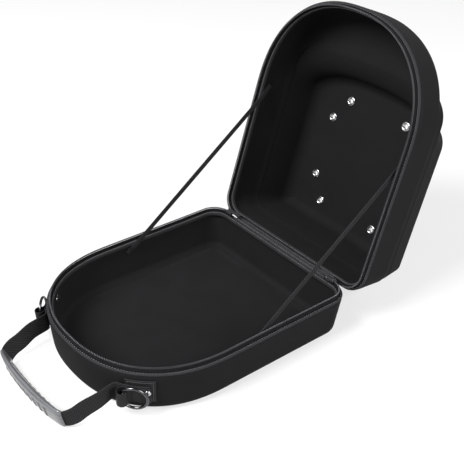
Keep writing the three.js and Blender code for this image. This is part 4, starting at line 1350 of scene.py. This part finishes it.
def patch_mesh(side, place):
    """Leather patch bent round the wall, with a raised border inside its edge."""
    f = fittings()
    half_length, half_height = f.patch_length / 2, f.patch_height / 2
    u = edge_values(f.patch_offset - half_length, f.patch_offset + half_length, PATCH_ROUNDING, PATCH_COLUMNS)
    v = edge_values(f.patch_rise - half_height, f.patch_rise + half_height, PATCH_ROUNDING, PATCH_ROWS)

    def surface(uu, vv):
        step = PATCH_SLOPE_STEP
        slope = (wall_at(uu + step) - wall_at(uu - step)) / (2 * step)
        normal = unit(np.stack([-slope, np.zeros_like(uu), np.ones_like(uu)], axis=-1))
        middle = np.stack([uu, vv, wall_at(uu) + f.patch_gap + f.patch_thickness / 2], axis=-1)
        return move(middle, place), unit(normal @ place[:3, :3].T)

    def border(uu, vv):
        edge = np.minimum(half_length - np.abs(uu - f.patch_offset), half_height - np.abs(vv - f.patch_rise))
        return bead(edge, *PATCH_BORDER) + bead(edge, *PATCH_SEAM)

    name = f"patch_{side}_leather"
    return slab(name, u, v, surface, f.patch_thickness, PATCH_ROUNDING, finish("tab_leather"), border)


def loop_path():
    """The loop's strip as seen from above: out along the tail, round the tube and back under itself."""
    f = fittings()
    _, _, tail, top = layers()
    radius = f.loop_radius - f.loop_leather / 2
    s = np.linspace(f.loop_tail, LOOP_LEAVES - f.loop_along, LOOP_TAIL_STEPS)
    upper = np.column_stack([s, wall_at(s) + top - f.loop_leather / 2 + LOOP_LIFT])
    t = np.linspace(LOOP_MEETS, 1.5 * np.pi, LOOP_ROUND_STEPS)
    circle = np.column_stack([radius * np.cos(t) - f.loop_along, loop_middle() + radius * np.sin(t)])
    s = np.linspace(-f.loop_along, f.loop_tail, LOOP_BACK_STEPS)[1:]
    lower = np.column_stack([s, wall_at(s) + tail + f.loop_leather / 2])
    return resample(np.vstack([upper, circle, lower]), LOOP_STRIP_POINTS)


class CASE_OT_tabs(bpy.types.Operator):
    """Builds the leather patches, ring loops, rings and rivets on both sides of the arch"""

    bl_idname = "case.tabs"
    bl_label = "Ring tabs"

    def execute(self, context):
        for side, sign in SIDES:
            place = tab_frame(sign)
            settle(patch_mesh(side, place), "tab_leather", "patch_" + side)
            self.patch_row(side, place)
            self.loop(side, place)
            self.ring(side, place)
            self.rivet(side, place @ rivet_seat())
        return {"FINISHED"}

    @staticmethod
    def patch_row(side, place):
        """One sewn row just inside the patch's border."""
        f = fittings()
        x, y = f.patch_length / 2 - PATCH_SEAM[1], f.patch_height / 2 - PATCH_SEAM[1]
        corners = np.array([(-x, -y), (x, -y), (x, y), (-x, y), (-x, -y)]) + (f.patch_offset, f.patch_rise)
        line = resample(corners, PATCH_SEAM_POINTS)
        height = wall_at(line[:, 0]) + f.patch_gap + f.patch_thickness - THREAD_SINK
        path = move(np.column_stack([line, height]), place)
        up = np.tile(place[:3, 2], (len(path), 1))
        settle(stitches(f"patch_{side}_stitches", path, up, PATCH_STITCH_PITCH), "tab_leather")

    @staticmethod
    def loop(side, place):
        """The leather strip that holds the ring."""
        f = fittings()
        flat = loop_path()
        path = move(np.column_stack([flat[:, 0], np.zeros(len(flat)), flat[:, 1]]), place)
        up = np.tile(place[:3, 1], (len(path), 1))
        strip = band(
            f"ring_loop_{side}_leather", path, up, f.loop_height / 2, f.loop_leather - LOOP_THINNER,
            LOOP_ROUNDING, finish("tab_leather"), columns=LOOP_COLUMNS,
        )
        settle(strip, "tab_leather", "ring_loop_" + side)

    @staticmethod
    def ring(side, place):
        """Round wire ring: centre + radius * (cos a * along + sin a * up) for each angle a."""
        f = fittings()
        centre = np.array([f.ring_radius - f.ring_wire - f.loop_along, 0.0, loop_middle()])
        a = full_turn(RING_POINTS)[:, None]
        path = move(centre + f.ring_radius * np.hstack([np.cos(a), np.sin(a), 0 * a]), place)
        outwards = np.tile(place[:3, 2], (len(path), 1))
        metal = finish("ring_metal")
        wire = tube(f"ring_{side}_wire", path, f.ring_wire, RING_SIDES, metal, outwards, closed=True)
        settle(wire, "ring_metal", "ring_" + side)

    @staticmethod
    def rivet(side, seat):
        """Two-part rivet: domed cap outside, wider head inside, one shank between."""
        f = fittings()
        under = -shells().tray_wall - RIVET_HEAD_GAP
        over = layers()[3] + RIVET_CAP_GAP
        head_edge, cap_edge = under - RIVET_HEAD_EDGE, over + RIVET_CAP_EDGE
        t = quarter(RIVET_STEPS)
        head = [(max(f.rivet_head * np.sin(a), POINTED), head_edge - RIVET_DOME * np.cos(a)) for a in t]
        cap = [(max(f.rivet_cap * np.cos(a), POINTED), cap_edge + RIVET_DOME * np.sin(a)) for a in t]
        shank = [(f.rivet_head, under), (RIVET_SHANK, under), (RIVET_SHANK, over), (f.rivet_cap, over)]
        made = lathe(f"rivet_{side}_domed", head + shank + cap, seat, closed=False, sharp=50.0)
        settle(made, "nickel", "rivet_" + side)


# Handle and stays

# Places of the handle strap on the tab, measured along the wall.
WEBBING_ON_TAB = np.array([0.022, 0.016, 0.010, 0.004, -0.002, -0.008, -0.014, -0.020, -0.025])
# The free strap from the tab to the middle of the grip: shares of the half span, of the reach from the arch
# tip, and of the height from the grip up to the tab.
HANDLE_ROUTE = np.array(
    [
        (1.041, 0.09, 0.735),
        (1.0, 0.4, 0.447),
        (0.982, 0.664, 0.204),
        (0.894, 0.861, 0.035),
        (0.706, 0.934, 0.009),
        (0.376, 0.984, 0.0),
        (0.0, 1.0, 0.0),
    ]
)
# Width direction of the strap over the grip, and where it turns to it, as shares of the handle's reach.
GRIP_LEAN = np.array([-0.2, -0.4, 1.0])
LEAN_FROM = -0.4
LEAN_TO = 0.6
STRAP_POINTS = 700
STRAP_COLUMNS = 22
STRAP_ROUNDING = 0.0008
STRAP_THINNER = 0.0003

# Ribs woven across the strap, and its flat selvedge.
WOVEN_PITCH = 0.0026
WOVEN_RISE = 0.00012
SELVEDGE = (0.0008, 0.0022)
SELVEDGE_RISE = 0.0001

# The grip: how much shorter it is than the handle's span, where it begins, and the powers of its taper and
# its section; then its rounded ends, its cover over the strap, its ribs and its tunnel.
GRIP_SHORTER = 0.008
GRIP_BEGINS = 0.7
GRIP_TAPER = 2.4
GRIP_SECTION = 2.9
GRIP_SAMPLES = 2400
GRIP_RINGS = 260
GRIP_SIDES = 96
GRIP_END_LENGTH = 0.0035
GRIP_END_SHARE = 0.84
GRIP_COVER = 0.002
RIB_HALF_WIDTH = 0.0026
RIB_ZONE = 4.5
RIB_FACE = (0.75, 0.97)
RIB_EDGE = 0.0105
RIB_FADE = 0.0022
TUNNEL_GAP = 0.00035

# The stays: depth of their ends on tray and lid, sideways step of the sewn ends, and those ends' places
# before the foot and past the head.
STAY_FOOT_DEPTH = 0.010
STAY_HEAD_DEPTH = 0.007
STAY_STEP = 0.0026
STAY_FOOT_SEWN = (-0.015, -0.006)
STAY_HEAD_SEWN = (0.013, 0.022)
STAY_POINTS = 160
STAY_COLUMNS = 16
STAY_ROUNDING = 0.0005
# The stays' thick edge (height, distance from the edge, width), and the height and pitch of their ribs.
STAY_EDGE = (0.00016, 0.0007, 0.0005)
STAY_RIB_RISE = 0.00005
STAY_RIB_PITCH = 0.0011


def handle_path(count):
    """The strap's middle line: along one tab, round through the grip and along the other."""
    f = fittings()
    on_wall = WEBBING_ON_TAB
    wall = np.column_stack([on_wall, np.zeros(len(on_wall)), wall_at(on_wall) + layers()[1]])
    start = (0.0, -shells().length / 2, f.handle_height)
    free = start + HANDLE_ROUTE * (f.handle_span, -f.handle_reach, f.tab_height - f.handle_height)
    right = np.vstack([move(wall, tab_frame(1)), free])
    left = right[:-1][::-1] * (-1, 1, 1)
    return centripetal(np.vstack([right, left]), count)


def beyond_arch(path):
    """How far a path lies in front of the tip of the arch."""
    return -path[:, 1] - shells().length / 2


def handle_width_dirs(path):
    """Across the strap: up the wall at the tabs, leaning outwards over the grip."""
    reach = fittings().handle_reach
    away = smoothstep(beyond_arch(path), LEAN_FROM * reach, LEAN_TO * reach)[:, None]
    up = np.tile(tab_frame(1)[:3, 1], (len(path), 1))
    up[:, 0] *= np.sign(path[:, 0])
    width = up * (1 - away) + GRIP_LEAN * away
    run = path_run(path)
    return unit(width - run * np.sum(run * width, axis=1, keepdims=True))


def webbing_relief(uu, vv):
    """Woven ribs across the strap, flattened to a selvedge at both edges."""
    inside = smoothstep(fittings().webbing_width / 2 - np.abs(vv), *SELVEDGE)
    return WOVEN_RISE * np.sin(2 * np.pi * uu / WOVEN_PITCH) * inside + SELVEDGE_RISE * (1 - inside)


def grip_grid():
    """The grip's skin as rings, outside from end to end and back through the tunnel, and where its grooves
    lie. The section is a superellipse |n / a|^p + |w / b|^p = 1, with rounded ribs on both faces."""
    f = fittings()
    half_length = f.handle_span - GRIP_SHORTER
    path = handle_path(GRIP_SAMPLES)
    keep = (np.abs(path[:, 0]) <= half_length) & (beyond_arch(path) > GRIP_BEGINS * f.handle_reach)
    path, width = path[keep], handle_width_dirs(path)[keep]
    path, width = resample(path, GRIP_RINGS), unit(resample(width, GRIP_RINGS))[:, None]
    normal = unit(np.cross(path_run(path), width[:, 0]))[:, None]
    x = np.abs(path[:, 0])
    share = np.clip(x / half_length, 0, 1)
    thick = f.grip_end + (f.grip_thickness - f.grip_end) * (1 - share**GRIP_TAPER)
    end = np.clip((1 - share) * half_length / GRIP_END_LENGTH, 0, 1)
    soften = (np.sqrt(1 - (1 - end) ** 2) * (1 - GRIP_END_SHARE) + GRIP_END_SHARE)[:, None]
    a = full_turn(GRIP_SIDES) + np.pi / GRIP_SIDES
    n, w = (np.sign(wave) * np.abs(wave) ** (2 / GRIP_SECTION) for wave in (np.cos(a), np.sin(a)))
    w = w * (f.webbing_width / 2 + GRIP_COVER)
    from_rib = (path[:, 0] / f.rib_pitch + 0.5) % 1.0 - 0.5
    rib = np.clip(1 - (np.abs(from_rib) * f.rib_pitch / RIB_HALF_WIDTH) ** 4, 0, 1) ** 0.5
    ribbed = x < RIB_ZONE * f.rib_pitch
    face = smoothstep(np.abs(n), *RIB_FACE) * smoothstep(RIB_EDGE - np.abs(w), 0.0, RIB_FADE)
    height = (thick[:, None] / 2 * soften) * n + np.sign(n) * f.rib_rise * (rib * ribbed)[:, None] * face
    outer = path[:, None] + height[..., None] * normal + (w * soften)[..., None] * width
    hole_n = n * (f.webbing_thickness / 2 + TUNNEL_GAP)
    hole_w = w / np.abs(w).max() * (f.webbing_width / 2 + TUNNEL_GAP)
    inner = path[:, None] + hole_n[None, :, None] * normal + hole_w[None, :, None] * width
    # Where the grooves between the ribs lie; the grip's finish paints shade there.
    groove = (ribbed * (1 - rib))[:, None] * face
    return np.concatenate([outer, inner[::-1]]), np.concatenate([groove, 0 * groove])


class CASE_OT_handle(bpy.types.Operator):
    """Builds the webbing handle and its moulded grip"""

    bl_idname = "case.handle"
    bl_label = "Handle"

    def execute(self, context):
        f = fittings()
        path = handle_path(STRAP_POINTS)
        strap = band(
            "handle_webbing_weave", path, handle_width_dirs(path), f.webbing_width / 2,
            f.webbing_thickness - STRAP_THINNER, STRAP_ROUNDING, finish("webbing"), webbing_relief,
            STRAP_COLUMNS,
        )
        settle(strap, "webbing", "handle_webbing")
        grid, groove = grip_grid()
        grip = skin(
            "handle_grip_moulding", grid, finish("grip_plastic"), close_rows=True, wear_and_painted_light=groove, sharp=55.0
        )
        settle(grip, "grip_plastic", "handle_grip")
        return {"FINISHED"}


class CASE_OT_stays(bpy.types.Operator):
    """Builds the two straps that hold the lid, with sewn ends"""

    bl_idname = "case.stays"
    bl_label = "Stays"

    def execute(self, context):
        f = fittings()
        for side, sign in SIDES:
            x = sign * (shells().width / 2 - f.stay_inset)
            foot = tray_place((x, f.stay_tray, STAY_FOOT_DEPTH))
            head = lid_place((x, f.stay_lid, STAY_HEAD_DEPTH))
            run = unit(head - foot)
            step = sign * STAY_STEP * SIDEWAYS
            points = [foot + run * at + step for at in STAY_FOOT_SEWN] + [foot, head]
            points += [head + run * at + step for at in STAY_HEAD_SEWN]
            path = resample(np.array(points), STAY_POINTS)
            normal = unit(SIDEWAYS - run * run[0])
            width = np.tile(np.cross(run, normal), (len(path), 1))
            strap = band(
                f"stay_{side}_webbing", path, width, f.stay_width / 2, f.stay_thickness, STAY_ROUNDING,
                finish("webbing"), self.relief, STAY_COLUMNS,
            )
            settle(strap, "webbing", "stay_" + side)
        return {"FINISHED"}

    @staticmethod
    def relief(uu, vv):
        """Fine ribs along the strap and a thicker edge."""
        edge = fittings().stay_width / 2 - np.abs(vv)
        return bead(edge, *STAY_EDGE) + STAY_RIB_RISE * np.sin(2 * np.pi * vv / STAY_RIB_PITCH)


class CASE_OT_sliders(bpy.types.Operator):
    """Builds the zip sliders and pulls at both ends of the zip"""

    bl_idname = "case.sliders"
    bl_label = "Sliders and pulls"

    def execute(self, context):
        for side, _ in SIDES:
            for part in ("slider", "pull"):
                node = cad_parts[f"{part}_{side}"]
                copy = bpy.data.objects.new(f"{part}_{side}_enamelled", node.data.copy())
                context.scene.collection.objects.link(copy)
                self.soften(copy)
                settle(copy, "slider_metal", f"{part}_{side}")
        return {"FINISHED"}

    @staticmethod
    def soften(copy):
        """Merges the loose triangles of the copied piece and rounds its edges."""
        mesh = bmesh.new()
        mesh.from_mesh(copy.data)
        bmesh.ops.remove_doubles(mesh, verts=mesh.verts, dist=1e-6)
        bmesh.ops.dissolve_limit(mesh, angle_limit=0.02, verts=mesh.verts, edges=mesh.edges)
        mesh.to_mesh(copy.data)
        mesh.free()
        copy.data.materials.clear()
        copy.data.materials.append(finish("slider_metal"))
        bevel = copy.modifiers.new("rounded", "BEVEL")
        bevel.width = 0.00035
        bevel.segments = 3
        bevel.limit_method = "ANGLE"
        bevel.harden_normals = False


# Stage

# Softboxes: name, place, what each faces, side in metres and power in watts.
SOFTBOXES = (
    ("key_softbox", (-0.2, -2.0, 2.4), (0.0, 0.15, 0.2), 1.4, 245.0),
    ("side_softbox", (2.4, 0.3, 1.7), (0.1, 0.2, 0.15), 1.5, 125.0),
    ("back_softbox", (-0.6, 2.6, 1.9), (0.0, 0.2, 0.2), 1.6, 20.0),
    ("grip_softbox", (-1.3, -0.75, 1.45), (0.0, -0.25, 0.02), 0.7, 4.0),
)
WORLD_STRENGTH = 0.25
FLOOR_HALF = 6.0

# The photograph's frame, focal length and lens axis, in its pixels, and the viewpoint in metres and degrees.
FRAME_PX = (464.0, 460.0)
FOCAL_PX = 882.1
AXIS_PX = (205.2, 222.0)
CAMERA_PLACE = (0.8247, -0.6475, 0.8434)
CAMERA_TURN = (58.016, -1.933, 51.405)


class CASE_OT_stage(bpy.types.Operator):
    """Sets up the camera, the soft studio light and the plain floor"""

    bl_idname = "case.stage"
    bl_label = "Stage"

    def execute(self, context):
        scene = context.scene
        self.camera(scene)
        for softbox in SOFTBOXES:
            self.area(scene, *softbox)
        world = bpy.data.worlds.new("studio_white")
        world.use_nodes = True
        sky = world.node_tree.nodes["Background"]
        sky.inputs["Color"].default_value = (1.0, 1.0, 1.0, 1.0)
        sky.inputs["Strength"].default_value = WORLD_STRENGTH
        scene.world = world
        scene.view_settings.view_transform = "Standard"
        corners = np.array([(-1.0, -1.0, 0.0), (1.0, -1.0, 0.0), (1.0, 1.0, 0.0), (-1.0, 1.0, 0.0)])
        corners *= FLOOR_HALF
        build("studio_floor", corners, [[0, 1, 2, 3]], finish("floor"), sharp=0)
        return {"FINISHED"}

    @staticmethod
    def camera(scene):
        """The photograph's viewpoint; its lens is shifted a little, as the frame lies off its axis."""
        width_px, height_px = FRAME_PX
        data = bpy.data.cameras.new("photo_camera")
        data.sensor_width = 36.0
        data.lens = FOCAL_PX / width_px * data.sensor_width
        data.shift_x = (width_px / 2 - AXIS_PX[0]) / width_px
        data.shift_y = (AXIS_PX[1] - height_px / 2) / width_px
        data.clip_start = 0.01
        data.clip_end = 60.0
        made = bpy.data.objects.new("photo_camera", data)
        scene.collection.objects.link(made)
        made.location = CAMERA_PLACE
        made.rotation_euler = np.radians(CAMERA_TURN)
        scene.camera = made

    @staticmethod
    def area(scene, name, place, target, side, power):
        data = bpy.data.lights.new(name, "AREA")
        data.size = side
        data.energy = power
        made = bpy.data.objects.new(name, data)
        scene.collection.objects.link(made)
        backwards = unit(np.array(place) - target)
        sideways = unit(np.cross((0.0, 0.0, 1.0), backwards))
        turn = place_matrix(sideways, np.cross(backwards, sideways), backwards, place)
        made.matrix_world = Matrix(turn.tolist())


class CASE_PT_panel(bpy.types.Panel):
    """Lists the case's pieces in the sidebar"""

    bl_label = "Travel case"
    bl_space_type = "VIEW_3D"
    bl_region_type = "UI"
    bl_category = "Case"

    def draw(self, context):
        for operator in OPERATORS:
            self.layout.operator(operator.bl_idname)


GROUPS = (
    ("case_shells", CaseShells),
    ("case_rim", CaseRim),
    ("case_fittings", CaseFittings),
    ("case_colours", CaseColours),
)
OPERATORS = (
    CASE_OT_stage,
    CASE_OT_shells,
    CASE_OT_rim,
    CASE_OT_zip,
    CASE_OT_hinge,
    CASE_OT_eyelets,
    CASE_OT_tabs,
    CASE_OT_handle,
    CASE_OT_stays,
    CASE_OT_sliders,
)


def register():
    for name, group in GROUPS:
        bpy.utils.register_class(group)
        setattr(bpy.types.Scene, name, bpy.props.PointerProperty(type=group))
    for item in (*OPERATORS, CASE_PT_panel):
        bpy.utils.register_class(item)


def unregister():
    for item in (CASE_PT_panel, *reversed(OPERATORS)):
        bpy.utils.unregister_class(item)
    for name, group in reversed(GROUPS):
        delattr(bpy.types.Scene, name)
        bpy.utils.unregister_class(group)


def main():
    register()
    for operator in OPERATORS:
        group, name = operator.bl_idname.split(".")
        getattr(getattr(bpy.ops, group), name)()


if __name__ == "__main__":
    main()
